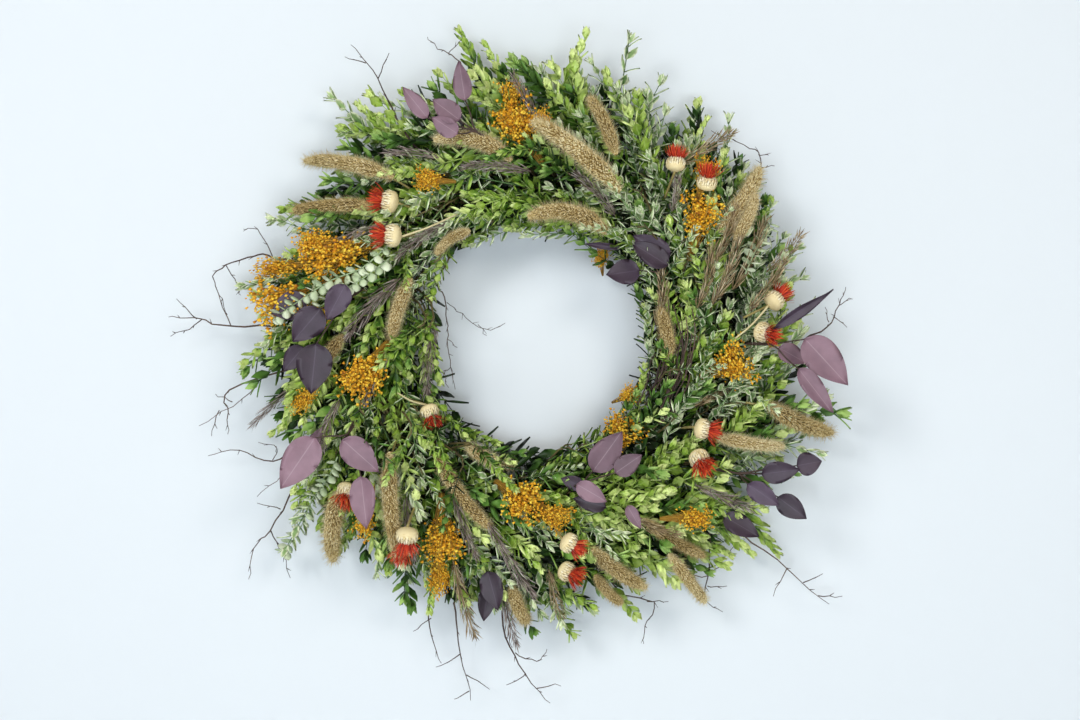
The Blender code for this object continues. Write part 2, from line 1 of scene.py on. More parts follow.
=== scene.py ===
"""Looks of the harvest door wreath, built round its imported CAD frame.

Angles are counter-clockwise from +X seen from the room, a reach is a distance from the centre of
the wire rings, and a depth is a Y. Lengths are in metres.
"""

from math import cos, degrees, pi, radians, sin, tau
from random import Random

import bmesh
import bpy
import numpy as np
from mathutils import Matrix, Vector
from mathutils.bvhtree import BVHTree


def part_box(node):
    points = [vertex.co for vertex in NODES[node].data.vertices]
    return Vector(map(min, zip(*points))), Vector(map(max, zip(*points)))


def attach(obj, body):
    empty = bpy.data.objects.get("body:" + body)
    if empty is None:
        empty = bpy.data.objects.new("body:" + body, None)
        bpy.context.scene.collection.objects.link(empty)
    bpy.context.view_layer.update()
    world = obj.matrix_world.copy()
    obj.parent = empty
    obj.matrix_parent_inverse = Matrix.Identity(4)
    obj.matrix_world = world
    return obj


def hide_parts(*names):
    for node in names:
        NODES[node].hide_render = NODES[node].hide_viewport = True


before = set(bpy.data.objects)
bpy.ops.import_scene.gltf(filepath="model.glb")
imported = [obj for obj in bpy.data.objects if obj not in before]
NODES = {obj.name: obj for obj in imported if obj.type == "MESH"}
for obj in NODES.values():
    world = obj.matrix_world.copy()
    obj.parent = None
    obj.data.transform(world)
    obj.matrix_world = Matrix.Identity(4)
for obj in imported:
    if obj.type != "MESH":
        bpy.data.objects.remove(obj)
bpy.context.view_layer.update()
BODY = "wreath"

ring_low, ring_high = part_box("frame_ring_back_outer")
CENTRE = (ring_low + ring_high) / 2
RING_REACH = (ring_high.x - ring_low.x) / 2
STEM_REACH = RING_REACH - 0.0140
INNER_REACH = 0.097
OUTER_REACH = 0.276
FIRST_BUNDLE_ANGLE = 15.0
BUNDLES = [f"greens_bundle_{number:02d}" for number in range(1, 11)]
PITCH = 360.0 / len(BUNDLES)
MM = 0.001
GOLDEN_ANGLE = 2.399963


# Placing -------------------------------------------------------------------------------------


def polar(angle, reach, depth=0.0):
    turn = radians(angle)
    return Vector((CENTRE.x + reach * cos(turn), depth, CENTRE.z + reach * sin(turn)))


def heading(angle, lean, forward=0.0):
    """A direction that leans that many degrees from outward to counter-clockwise, and forward."""
    turn = radians(angle + lean)
    return Vector((cos(turn), -forward, sin(turn))).normalized()


def greens_surface():
    """The CAD bundles' surface, on which what is set into the greens is seated."""
    whole = bmesh.new()
    for name in BUNDLES:
        whole.from_mesh(NODES[name].data)
    tree = BVHTree.FromBMesh(whole)
    whole.free()
    return tree


SURFACE = greens_surface()


def crown(angle, reach):
    """Depth of the greens' front at that place, or that of their rim where there is none."""
    hit = SURFACE.ray_cast(polar(angle, reach, -1.0), Vector((0, 1, 0)))[0]
    return hit.y if hit else -0.032


def aim(origin, along, roll=0.0, scale=1.0):
    """Puts a piece's Z axis along a direction."""
    turned = along.to_track_quat("Z", "Y").to_matrix().to_4x4()
    size = Matrix.Scale(scale, 4)
    return Matrix.Translation(origin) @ turned @ Matrix.Rotation(roll, 4, "Z") @ size


def off_the_stems(point):
    """How far a point is from the ring of stems that every rooted piece springs from."""
    out = Vector((point.x - CENTRE.x, point.z - CENTRE.z)).length - STEM_REACH
    return Vector((out, point.y + 0.040)).length


def rings_of(node):
    """Centre and radius of each ring of corners of a CAD tube, from its rooted end on."""
    bm = bmesh.new()
    bm.from_mesh(NODES[node].data)
    bmesh.ops.remove_doubles(bm, verts=bm.verts, dist=1e-6)
    root = min((v for v in bm.verts), key=lambda v: off_the_stems(v.co))
    near = [v for v in bm.verts if (v.co - root.co).length < 0.004]
    seen = set(near)
    rings = []
    while near:
        middle = sum((v.co for v in near), Vector()) / len(near)
        rings.append((middle, max((v.co - middle).length for v in near)))
        near = list({e.other_vert(v) for v in near for e in v.link_edges} - seen)
        seen.update(near)
    bm.free()
    return rings


def nodes_like(start):
    return sorted(name for name in NODES if name.startswith(start))


# Mesh making -----------------------------------------------------------------------------------


def frames_along(points):
    """A matrix at each point whose Z axis follows the line, turning as little as it can."""
    side = None
    made = []
    for i, point in enumerate(points):
        along = (points[min(i + 1, len(points) - 1)] - points[max(i - 1, 0)]).normalized()
        if side is None:
            side = along.orthogonal().normalized()
        side = (side - along * side.dot(along)).normalized()
        rotation = Matrix((side, along.cross(side), along)).transposed()
        made.append(Matrix.Translation(point) @ rotation.to_4x4())
    return made


def smooth_line(points, steps):
    """Points along a smooth curve through the given ones."""
    made = []
    last = len(points) - 1
    for i in range(last):
        before, start = points[max(i - 1, 0)], points[i]
        end, after = points[i + 1], points[min(i + 2, last)]
        for step in range(steps):
            t = step / steps
            pull = (end - before) * t + (2 * before - 5 * start + 4 * end - after) * t * t
            pull += (3 * start - before - 3 * end + after) * t**3
            made.append(start + pull * 0.5)
    return made + [points[-1].copy()]


def tube(bm, points, radii, sides, tint=0.5):
    """Adds a closed tube whose radius changes from point to point."""
    layer = bm.verts.layers.float.get("tint") or bm.verts.layers.float.new("tint")
    previous = None
    for i, place in enumerate(frames_along(points)):
        ends = i in (0, len(points) - 1)
        made = bmesh.ops.create_circle(
            bm, cap_ends=ends, radius=radii[i], segments=sides, matrix=place
        )
        corners = made["verts"]
        for v in corners:
            v[layer] = tint
        edges = list({e for v in corners for e in v.link_edges})
        if previous:
            bmesh.ops.bridge_loops(bm, edges=previous + edges)
        previous = edges


def taper(count, start, end):
    return [start + (end - start) * i / (count - 1) for i in range(count)]


def new_mesh(name, bm, smooth=True):
    bmesh.ops.recalc_face_normals(bm, faces=bm.faces)
    mesh = bpy.data.meshes.new(name)
    bm.to_mesh(mesh)
    bm.free()
    if smooth:
        mesh.shade_smooth()
    return mesh


def shift_tint(mesh, amount):
    shades = np.zeros(len(mesh.vertices), np.float32)
    layer = mesh.attributes["tint"].data
    layer.foreach_get("value", shades)
    layer.foreach_set("value", np.clip(shades + amount, 0, 1))


def strew(bm, template, place, tint=0.5):
    """Adds a copy of a template, with its own tints made lighter or darker about one half."""
    copy = template.copy()
    copy.transform(place)
    shift_tint(copy, tint - 0.5)
    bm.from_mesh(copy)
    bpy.data.meshes.remove(copy)


def bent_copy(template, spine, length, girth=1.0):
    """A copy of a template that stands along +Z, laid along a spine instead."""
    places = frames_along(spine)
    grid = np.array([[list(row) for row in place] for place in places])
    mesh = template.copy()
    flat = np.zeros(len(mesh.vertices) * 3, np.float32)
    mesh.vertices.foreach_get("co", flat)
    co = flat.reshape(-1, 3).astype(float)
    way = np.clip(co[:, 2] / length, 0, 1) * (len(spine) - 1)
    low = np.minimum(way.astype(int), len(spine) - 2)
    part = (way - low)[:, None, None]
    matrix = grid[low] * (1 - part) + grid[low + 1] * part
    local = np.stack(
        [co[:, 0] * girth, co[:, 1] * girth, np.zeros(len(co)), np.ones(len(co))], axis=1
    )
    over = np.maximum(co[:, 2] - length, 0)[:, None] + np.minimum(co[:, 2], 0)[:, None]
    moved = np.einsum("nij,nj->ni", matrix, local)[:, :3] + matrix[:, :3, 2] * over
    mesh.vertices.foreach_set("co", moved.astype(np.float32).ravel())
    return mesh


def add_piece(name, mesh, finish, replaces=(), body=BODY):
    mesh.materials.clear()
    mesh.materials.append(finish)
    piece = bpy.data.objects.new(name, mesh)
    bpy.context.scene.collection.objects.link(piece)
    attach(piece, body)
    if replaces:
        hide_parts(*replaces)
    return piece


# Materials -------------------------------------------------------------------------------------


def linear(hex_colour):
    values = [int(hex_colour[i : i + 2], 16) / 255 for i in (1, 3, 5)]
    return tuple(
        v / 12.92 if v <= 0.04045 else ((v + 0.055) / 1.055) ** 2.4 for v in values
    ) + (1.0,)


def add_node(tree, kind, links=(), **settings):
    """Adds a node; settings name its properties or inputs, links give (input, node, output)."""
    node = tree.nodes.new(kind)
    for key, value in settings.items():
        if hasattr(node, key):
            setattr(node, key, value)
        else:
            node.inputs[key.replace("_", " ")].default_value = value
    for socket, source, output in links:
        tree.links.new(source.outputs[output], node.inputs[socket])
    return node


def start_material(name, roughness, **sockets):
    made = bpy.data.materials.new(name)
    made.use_nodes = True
    tree = made.node_tree
    shader = tree.nodes["Principled BSDF"]
    shader.inputs["Roughness"].default_value = roughness
    for key, value in sockets.items():
        shader.inputs[key.replace("_", " ")].default_value = value
    return made, tree, shader


def colour_ramp(tree, source, output, *stops):
    ramp = add_node(tree, "ShaderNodeValToRGB", [("Fac", source, output)])
    points = ramp.color_ramp.elements
    while len(points) < len(stops):
        points.new(0.5)
    for point, (place, colour) in zip(points, stops):
        point.position = place
        point.color = linear(colour)
    return ramp


def plant_material(name, roughness, stops, mottle_mm, mottle, bump_mm, bump, edge=None, **sockets):
    """Dried or preserved plant: each leaf or grain has its own tint, mottled and wrinkled; in the
    greens and the millet that tint also holds painted shade and highlight.
    """
    made, tree, shader = start_material(name, roughness, **sockets)
    place = add_node(tree, "ShaderNodeTexCoord")
    tint = add_node(tree, "ShaderNodeAttribute", attribute_name="tint")
    blotch = add_node(
        tree, "ShaderNodeTexNoise", [
            ("Vector", place, "Object")
        ], Scale=1 / (mottle_mm * MM), Detail=3.0
    )
    offset = add_node(tree, "ShaderNodeMath", [(0, blotch, "Fac")], operation="SUBTRACT")
    offset.inputs[1].default_value = 0.5
    share = add_node(
        tree, "ShaderNodeMath", [(0, offset, 0), (2, tint, "Fac")], operation="MULTIPLY_ADD"
    )
    share.inputs[1].default_value = mottle
    colour = colour_ramp(tree, share, 0, *stops)
    out = colour, "Color"
    if edge:
        rim = add_node(tree, "ShaderNodeAttribute", attribute_name="rim")
        fade = add_node(
            tree, "ShaderNodeMapRange", [("Value", rim, "Fac")], From_Min=edge[1], From_Max=edge[2],
            To_Max=edge[3]
        )
        mix = add_node(
            tree,
            "ShaderNodeMix",
            [(0, fade, 0), (6, colour, "Color")],
            data_type="RGBA",
        )
        mix.inputs[7].default_value = linear(edge[0])
        out = mix, 2
    tree.links.new(out[0].outputs[out[1]], shader.inputs["Base Color"])
    grain = add_node(
        tree, "ShaderNodeTexNoise", [
            ("Vector", place, "Object")
        ], Scale=1 / (bump_mm * MM), Detail=4.0
    )
    relief = add_node(
        tree, "ShaderNodeBump", [("Height", grain, "Fac")], Strength=bump, Distance=0.0004
    )
    tree.links.new(relief.outputs["Normal"], shader.inputs["Normal"])
    return made


def wire_material(name, colours, roughness, metallic):
    """Drawn wire: its coating is slightly cloudy, and dull where it was handled."""
    made, tree, shader = start_material(name, roughness, Metallic=metallic)
    place = add_node(tree, "ShaderNodeTexCoord")
    cloud = add_node(
        tree, "ShaderNodeTexNoise", [("Vector", place, "Object")], Scale=1 / (6 * MM), Detail=4.0
    )
    colour = colour_ramp(tree, cloud, "Fac", (0.3, colours[0]), (0.7, colours[1]))
    tree.links.new(colour.outputs["Color"], shader.inputs["Base Color"])
    rough = add_node(
        tree, "ShaderNodeMapRange", [("Value", cloud, "Fac")], To_Min=roughness - 0.1,
        To_Max=roughness + 0.15
    )
    tree.links.new(rough.outputs[0], shader.inputs["Roughness"])
    return made


# Boxwood preserved in glycerine: waxy yellow-green leaves, with the palest stops of the ramp as
# painted highlight on the leaves on top
BOXWOOD = plant_material(
    "boxwood_preserved_bright", 0.36,
    ((0.0, "#122302"), (0.25, "#456d18"), (0.55, "#9cbb47"), (0.95, "#e0ec9a")),
    9, 0.5, 1.2, 0.25, edge=("#b9cf78", 0.22, 0.0, 0.6),
)
# The deep greens under them: darker, bluer leaves, and the under-layer ones tinted darker still as
# painted shade where the light hardly reaches
MYRTLE = plant_material(
    "myrtle_preserved_deep", 0.5,
    ((0.0, "#091302"), (0.35, "#22400e"), (0.7, "#5f8a34"), (1.0, "#b4d274")),
    9, 0.45, 1.2, 0.25,
)
# Variegated box: grey-green leaves with a cream margin
SAGE = plant_material(
    "variegated_box_preserved", 0.55,
    ((0.0, "#162a0d"), (0.3, "#4d7238"), (0.65, "#94b070"), (1.0, "#dce8b8")),
    7, 0.45, 1.0, 0.3, edge=("#eef1cf", 0.4, 0.95, 1.0),
)
# Pale discs of the small round-leaved sprig, with a powdery bloom
MINT = plant_material(
    "round_leaf_bloom", 0.7,
    ((0.0, "#8fa478"), (0.5, "#bac89f"), (1.0, "#dde4c4")),
    5, 0.4, 0.8, 0.2,
)
# Foxtail millet, air dried: straw-coloured grains, painted darker as shade in the hollows between
# their clumps
MILLET = plant_material(
    "foxtail_millet_grain", 0.8,
    ((0.0, "#54401a"), (0.3, "#977b40"), (0.62, "#ccb479"), (1.0, "#f3e7bb")),
    14, 0.5, 0.6, 0.5,
)
# Goldenrod florets: dusty orange-yellow
GOLD = plant_material(
    "gold_floret", 0.85,
    ((0.0, "#7d4706"), (0.25, "#c47c0a"), (0.6, "#eaa914"), (1.0, "#fdd848")),
    6, 0.4, 0.5, 0.5,
)
# Their wiry stems, brown where the florets have dropped
GOLD_STEM = plant_material(
    "goldenrod_stem", 0.75,
    ((0.0, "#6b4c14"), (0.5, "#a97d24"), (1.0, "#d4a540")),
    8, 0.5, 0.6, 0.3,
)
# Safflower bracts: papery cream, browned at the tips
BRACT = plant_material(
    "safflower_bract_paper", 0.7,
    ((0.0, "#b39557"), (0.35, "#dcc68e"), (0.7, "#eddcae"), (1.0, "#f6ecce")),
    5, 0.3, 0.7, 0.3,
)
# Safflower florets: thin petals, red at the throat and orange at the tips
TUFT = plant_material(
    "safflower_petal", 0.65,
    ((0.0, "#7d140a"), (0.4, "#bd2c12"), (0.75, "#e04a1c"), (1.0, "#f08038")),
    4, 0.3, 0.6, 0.3,
)
# Eucalyptus dyed and preserved: dusty mauve, plum and nearly black, with a pale midrib
MAUVE = plant_material(
    "eucalyptus_mauve", 0.55,
    ((0.0, "#4c3a40"), (0.4, "#735862"), (0.75, "#91717c"), (1.0, "#b2989f")),
    16, 0.5, 1.5, 0.35, edge=("#b7a2a8", 0.05, 0.0, 0.4),
)
PLUM = plant_material(
    "eucalyptus_plum", 0.5,
    ((0.0, "#170f14"), (0.4, "#332330"), (0.75, "#4d3c4d"), (1.0, "#6a5769")),
    16, 0.5, 1.5, 0.35, edge=("#6f6174", 0.05, 0.0, 0.3),
)
# Grass plumes: silver husks flushed with lilac-brown
PLUME = plant_material(
    "grass_plume_husk", 0.7,
    ((0.0, "#5d4c42"), (0.4, "#85746a"), (0.75, "#a89a92"), (1.0, "#cfc4ba")),
    10, 0.5, 0.6, 0.3,
)
# Grass gone over to hay: the same husks, bleached tan
HAY = plant_material(
    "hay_husk", 0.75,
    ((0.0, "#5f4a2e"), (0.4, "#957d58"), (0.75, "#bda680"), (1.0, "#dfd0ae")),
    10, 0.5, 0.6, 0.3,
)
# Twigs and stems
BARK = plant_material(
    "birch_twig_bark", 0.75,
    ((0.0, "#2a1d19"), (0.5, "#4a3830"), (1.0, "#77604f")),
    8, 0.6, 0.7, 0.6,
)
STRAW = plant_material(
    "dried_stem", 0.7,
    ((0.0, "#332a12"), (0.5, "#9a8a50"), (1.0, "#d8cb9c")),
    12, 0.5, 0.8, 0.4,
)
ZINC = wire_material("galvanised_frame_wire", ("#8b9093", "#b3b7b8"), 0.42, 1.0)
ENAMEL = wire_material("enamelled_paddle_wire", ("#17351d", "#28502c"), 0.38, 0.0)


# Leaves and sprigs -----------------------------------------------------------------------------


def leaf_template(
        name, length, width, widest, cup, curl, across=2, along=3, thickness=0.35 * MM, tip=1.6,
        fade=0.3
):
    """A closed leaf from its heel at the origin along +Z; its upper side faces -Y."""
    bm = bmesh.new()
    tint = bm.verts.layers.float.new("tint")
    rim = bm.verts.layers.float.new("rim")
    bmesh.ops.create_grid(bm, x_segments=across, y_segments=along, size=0.5)
    for v in bm.verts:
        side, way = v.co.x * 2, v.co.y + 0.5
        swell = (way / widest if way < widest else (1 - way) / (1 - widest))
        half = width / 2 * max(0.06, 1 - (1 - swell) ** (tip if way > widest else 2.2))
        v[tint] = 0.5 + fade * (way - 0.5)
        v[rim] = abs(side)
        v.co = Vector(
            (side * half, -cup * width * side * side - curl * length * way * way, way * length)
        )
    bmesh.ops.solidify(bm, geom=bm.faces[:], thickness=thickness)
    return new_mesh(name, bm)


def sprig_template(name, leaf, length, nodes, lift, scale_tip, seed, bow=0.10, stem=0.9 * MM):
    """A stem along +Z with leaves in pairs, each pair turned a quarter from the one below."""
    rng = Random(seed)
    bm = bmesh.new()
    bm.verts.layers.float.new("tint")
    bm.verts.layers.float.new("rim")
    bend = rng.uniform(0.5, 1.4) * bow * length
    line = [
        Vector(
            (bend * t * t, 0.25 * bend * sin(3 * t), length * t)
        ) for t in (i / 6 for i in range(7))
    ]
    tube(bm, line, taper(7, stem, stem * 0.4), 4, tint=0.25)
    # Leaves low on the stem are tinted darker and those at the tip lighter: painted shade deep in
    # the greens and painted light on top.
    for node in range(nodes):
        t = 0.10 + 0.88 * (node / (nodes - 1)) ** 0.85
        foot = Vector((bend * t * t, 0.25 * bend * sin(3 * t), length * t))
        size = (1.0 - (1.0 - scale_tip) * t * t) * (0.75 + 0.25 * min(1, t * 3))
        for leaf_number in range(2):
            turn = node * pi / 2 + leaf_number * pi + rng.uniform(-0.5, 0.5)
            tilt = radians(lift) * (1.25 - 0.75 * t) + rng.uniform(-0.3, 0.3)
            place = Matrix.Translation(foot) @ Matrix.Rotation(turn, 4, "Z")
            place = place @ Matrix.Rotation(tilt, 4, "X")
            place = place @ Matrix.Scale(size * rng.uniform(0.85, 1.12), 4)
            strew(bm, leaf, place, 0.16 + 0.52 * t + rng.uniform(-0.2, 0.2))
    for i in range(4):
        turn = i * pi / 2 + rng.uniform(-0.3, 0.3)
        place = Matrix.Translation(line[-1]) @ Matrix.Rotation(turn, 4, "Z")
        place = place @ Matrix.Rotation(rng.uniform(0.12, 0.38), 4, "X")
        strew(bm, leaf, place @ Matrix.Scale(scale_tip * 0.8, 4), rng.uniform(0.65, 0.95))
    return new_mesh(name, bm)


def sprig_set(name, leaf, count, seed, **shape):
    return [sprig_template(f"{name}_{i}", leaf, seed=seed + i, **shape) for i in range(count)]


BOX_LEAF = leaf_template("box_leaf", 20 * MM, 11.6 * MM, 0.52, 0.14, 0.10, tip=2.0)
MYRTLE_LEAF = leaf_template("myrtle_leaf", 24 * MM, 12.0 * MM, 0.45, 0.12, 0.12, tip=1.6)
SAGE_LEAF = leaf_template("sage_leaf", 18 * MM, 8.2 * MM, 0.5, 0.16, 0.16)
DISC_LEAF = leaf_template(
    "disc_leaf", 10.5 * MM, 11 * MM, 0.5, 0.10, 0.10, across=3, along=4, tip=2.6
)

BOX_LENGTH = 0.100
SPRIGS = {
    "box": sprig_set(
        "box_sprig", BOX_LEAF, 5, 11, length=BOX_LENGTH, nodes=10, lift=46, scale_tip=0.66
    ),
    "myrtle": sprig_set(
        "myrtle_sprig", MYRTLE_LEAF, 4, 31, length=BOX_LENGTH, nodes=8, lift=50, scale_tip=0.7
    ),
    "sage": sprig_set(
        "sage_sprig", SAGE_LEAF, 5, 51, length=BOX_LENGTH, nodes=9, lift=48, scale_tip=0.7
    ),
}
SPEARS = {
    "box": sprig_set(
        "box_spear", BOX_LEAF, 3, 71, length=BOX_LENGTH, nodes=15, lift=26, scale_tip=0.42, bow=0.16
    ),
    "myrtle": SPRIGS["myrtle"],
    "sage": sprig_set(
        "sage_spear", SAGE_LEAF, 3, 81, length=BOX_LENGTH, nodes=10, lift=46, scale_tip=0.6,
        bow=0.16
    ),
}
FINISHES = {"box": BOXWOOD, "myrtle": MYRTLE, "sage": SAGE, "stem": STRAW}


# Greens ------------------------------------------------------------------------------------------

# Where sage-green sprigs gather, as angle, half width and share of the sprigs there
SAGE_PATCHES = (
    (64, 22, 0.62), (20, 24, 0.62), (345, 18, 0.58), (155, 14, 0.45), (128, 12, 0.45),
    (262, 20, 0.35),
    (232, 12, 0.35),
)
UNDER_SPRIGS = 21
CROWN_SPRIGS = 46
RIM_SPRIGS = 11
STEM_LENGTH = 0.1


def sage_share(angle):
    best = 0.14
    for middle, half, share in SAGE_PATCHES:
        off = abs((angle - middle + 180) % 360 - 180)
        if off < half:
            best = max(best, share)
    return best


def stem_template():
    bm = bmesh.new()
    line = [Vector((0, 0, STEM_LENGTH * i / 5)) for i in range(6)]
    tube(bm, line, taper(6, 1.3 * MM, 0.75 * MM), 5, tint=0.12)
    return new_mesh("stem", bm)


STEM = stem_template()


def add_stem(bm, rng, foot, along):
    """The bare part of a sprig's stem, from the frame's channel to where its leaves begin."""
    off = foot - CENTRE
    angle = degrees(np.arctan2(off.z, off.x)) - rng.uniform(8, 16)
    root = polar(angle, STEM_REACH + rng.uniform(-0.011, 0.011), rng.uniform(-0.030, -0.012))
    line = smooth_line(
        [root, root.lerp(foot, 0.55) - along * 0.01 * rng.random(), foot, foot + along * 0.012], 3
    )
    stem = bent_copy(STEM, line, STEM_LENGTH)
    bm.from_mesh(stem)
    bpy.data.meshes.remove(stem)


def add_sprig(
        meshes, rng, kind, angle, reach, depth, lean, forward, size, shapes=SPRIGS, shade=0.54
):
    """One sprig by where its tip is; it grows from lower down and further back."""
    along = heading(angle, lean, forward)
    foot = polar(angle, reach, depth) - along * BOX_LENGTH * size
    foot.y = min(foot.y, -0.010)
    place = aim(foot, along, rng.uniform(0, tau), size)
    # shade sets the sprig's tint, give or take a random tone: painted shade for sprigs deep in the
    # greens, painted light for those on top.
    strew(meshes[kind], rng.choice(shapes[kind]), place, shade + rng.uniform(-0.15, 0.15))
    add_stem(meshes["stem"], rng, foot, along)


def lean_at(reach):
    """Inner sprigs follow the ring, and outer ones fan outwards."""
    share = (reach - INNER_REACH) / (OUTER_REACH - INNER_REACH)
    return 96 - 62 * min(1.15, max(0, share)) ** 0.8


def sprig_kind(rng, angle, rest):
    """Sage-green where it gathers, and one of the other kinds elsewhere."""
    return "sage" if rng.random() < sage_share(angle % 360) else rng.choice(rest)


def add_pieces(name, meshes, replaces):
    for kind, bm in meshes.items():
        label = f"{kind}_{name}"
        add_piece(label, new_mesh(label, bm), FINISHES[kind], replaces)


def add_bundle(number, node):
    rng = Random(500 + number)
    meshes = {kind: bmesh.new() for kind in FINISHES}
    start = FIRST_BUNDLE_ANGLE + PITCH * number
    for i in range(UNDER_SPRIGS):
        reach = INNER_REACH + 0.012 + (OUTER_REACH - INNER_REACH - 0.02) * rng.random() ** 0.8
        angle = start + PITCH * rng.random() + 8
        depth = -0.018 + (crown(angle, reach) + 0.030) * rng.random() * 0.8
        lean = lean_at(reach) + rng.uniform(-16, 16)
        forward = rng.uniform(-0.1, 0.2)
        # Under-layer sprigs get a very low tint: painted shade deep inside the greens.
        add_sprig(
            meshes, rng, "myrtle", angle, reach, depth, lean, forward, rng.uniform(0.8, 1.1),
            shade=0.14
        )
    for i in range(CROWN_SPRIGS):
        reach = INNER_REACH + 0.006 + (OUTER_REACH - INNER_REACH) * rng.random() ** 0.85
        angle = start + PITCH * (i + rng.random()) / CROWN_SPRIGS + 8
        sunk = rng.uniform(-0.004, 0.016)
        depth = crown(angle, min(reach, OUTER_REACH - 0.004)) + sunk
        lean = lean_at(reach) + rng.gauss(0, 10)
        kind = sprig_kind(rng, angle, ("box", "box", "box", "myrtle"))
        size = rng.uniform(0.75, 1.1) if reach > 0.13 else rng.uniform(0.6, 0.8)
        forward = rng.uniform(0.10, 0.42)
        # The deeper a sprig is sunk, the lower its tint: painted shade for its depth.
        add_sprig(
            meshes, rng, kind, angle, reach, depth, lean, forward, size, shade=0.64 - 16 * sunk
        )
    for i in range(RIM_SPRIGS):
        angle = start + PITCH * (i + rng.random()) / RIM_SPRIGS + 10
        reach = OUTER_REACH * rng.uniform(0.80, 0.94)
        kind = sprig_kind(rng, angle, ("box", "box", "myrtle"))
        size = rng.uniform(0.9, 1.2)
        forward = rng.uniform(-0.05, 0.15)
        depth = rng.uniform(-0.055, -0.022)
        add_sprig(meshes, rng, kind, angle, reach, depth, rng.gauss(32, 12), forward, size, SPEARS)
    add_pieces(f"{number + 1:02d}", meshes, [node])


for number, node in enumerate(BUNDLES):
    add_bundle(number, node)

# Sprigs that reach past the rest: kind, angle and reach of the tip, lean, size
REACHING = (
    ("box", 106, 0.308, 22, 1.3), ("box", 100, 0.272, 20, 1.1), ("box", 93, 0.262, 12, 1.0),
    ("box", 84, 0.302, -2, 1.35), ("box", 77, 0.240, 20, 1.0), ("sage", 69, 0.300, -4, 1.4),
    ("sage", 60, 0.255, 8, 1.2), ("box", 53, 0.272, 18, 1.0), ("sage", 42, 0.248, 10, 1.0),
    ("sage", 34, 0.262, 8, 1.2), ("sage", 17, 0.262, 12, 1.1), ("myrtle", 348, 0.300, 8, 1.2),
    ("sage", 339, 0.290, 4, 1.1), ("box", 321, 0.312, 0, 1.3), ("box", 311, 0.282, 18, 1.1),
    ("box", 298, 0.270, 8, 1.1), ("sage", 279, 0.256, 20, 1.1), ("sage", 272, 0.272, 10, 1.1),
    ("box", 250, 0.276, 20, 1.1), ("sage", 241, 0.262, 24, 1.1), ("box", 228, 0.264, 18, 1.0),
    ("sage", 220, 0.310, 22, 1.2), ("box", 201, 0.266, 22, 1.1), ("myrtle", 186, 0.278, 24, 1.1),
    ("sage", 170, 0.288, 14, 1.1), ("sage", 158, 0.276, 18, 1.1), ("sage", 132, 0.306, 14, 1.3),
    ("sage", 136, 0.262, 22, 1.1), ("box", 126, 0.290, 10, 1.2),
)


def add_reaching_sprigs():
    rng = Random(77)
    meshes = {kind: bmesh.new() for kind in FINISHES}
    for kind, angle, reach, lean, size in REACHING:
        depth = rng.uniform(-0.050, -0.030)
        add_sprig(meshes, rng, kind, angle, reach, depth, lean, 0.05, size, SPEARS)
        add_sprig(
            meshes, rng, kind, angle - 4, reach - 0.022, depth - 0.005, lean + 8, 0.08, size * 0.9,
            SPEARS
        )
    add_pieces("reaching", meshes, ())


add_reaching_sprigs()


# Foxtail millet ----------------------------------------------------------------------------------

HEAD_LENGTH = 0.095
HEAD_GIRTH = 7.2 * MM
GRAINS = 1400


def head_radius(t):
    """Share of full girth at that share of a foxtail head's length."""
    return min(1.0, 0.22 + 3.2 * t) * (1.0 - 0.30 * t**1.6) * min(1.0, 0.14 + (1 - t) * 5.0) ** 0.7


def foxtail_template(name, seed):
    rng = Random(seed)
    bm = bmesh.new()
    bm.verts.layers.float.new("tint")
    grain = bmesh.new()
    shade = grain.verts.layers.float.new("tint")
    bmesh.ops.create_uvsphere(grain, u_segments=5, v_segments=2, radius=1.0)
    bmesh.ops.scale(grain, vec=(0.78 * MM, 0.78 * MM, 1.15 * MM), verts=grain.verts)
    for v in grain.verts:
        v[shade] = 0.5 + 0.12 * v.co.z / MM
    grain = new_mesh("grain", grain)
    bristle = bmesh.new()
    shade = bristle.verts.layers.float.new("tint")
    bmesh.ops.create_cone(
        bristle, cap_ends=True, segments=3, radius1=0.2 * MM, radius2=0.0, depth=1.0,
        matrix=Matrix.Translation((0, 0, 0.5)),
    )
    for v in bristle.verts:
        v[shade] = 0.5
    bristle = new_mesh("bristle", bristle)
    steps = 14
    line = [Vector((0, 0, HEAD_LENGTH * i / steps)) for i in range(steps + 1)]
    tube(
        bm, line, [HEAD_GIRTH * head_radius(i / steps) * 0.86 for i in range(steps + 1)], 8,
        tint=0.15
    )
    for i in range(GRAINS):
        t = (i + 0.5) / GRAINS
        turn = i * GOLDEN_ANGLE + rng.uniform(-0.15, 0.15)
        clump = 0.5 + 0.5 * sin(turn * 5 + t * 60) * sin(t * 150 + turn * 2)
        radius = HEAD_GIRTH * head_radius(t) * (0.90 + 0.10 * clump + rng.uniform(-0.03, 0.03))
        outward = Vector((cos(turn), sin(turn), 0))
        along = (outward + Vector((0, 0, rng.uniform(0.5, 1.3)))).normalized()
        foot = outward * radius + Vector((0, 0, HEAD_LENGTH * t))
        # Grains out on a clump are tinted lighter and those between clumps darker: painted shade in
        # the hollows.
        strew(
            bm, grain, aim(foot, along, 0, rng.uniform(0.85, 1.2)),
            0.32 + 0.42 * clump + rng.uniform(-0.2, 0.25)
        )
        if i % 3:
            reach = rng.uniform(4.5, 8.5) * MM
            away = (outward + Vector((0, 0, rng.uniform(0.2, 0.8)))).normalized()
            place = aim(foot, away, 0) @ Matrix.Diagonal((1, 1, reach, 1))
            strew(bm, bristle, place, rng.uniform(0.6, 0.95))
    return new_mesh(name, bm)


FOXTAIL_TEMPLATES = [foxtail_template(f"foxtail_head_{i}", 90 + i) for i in range(2)]


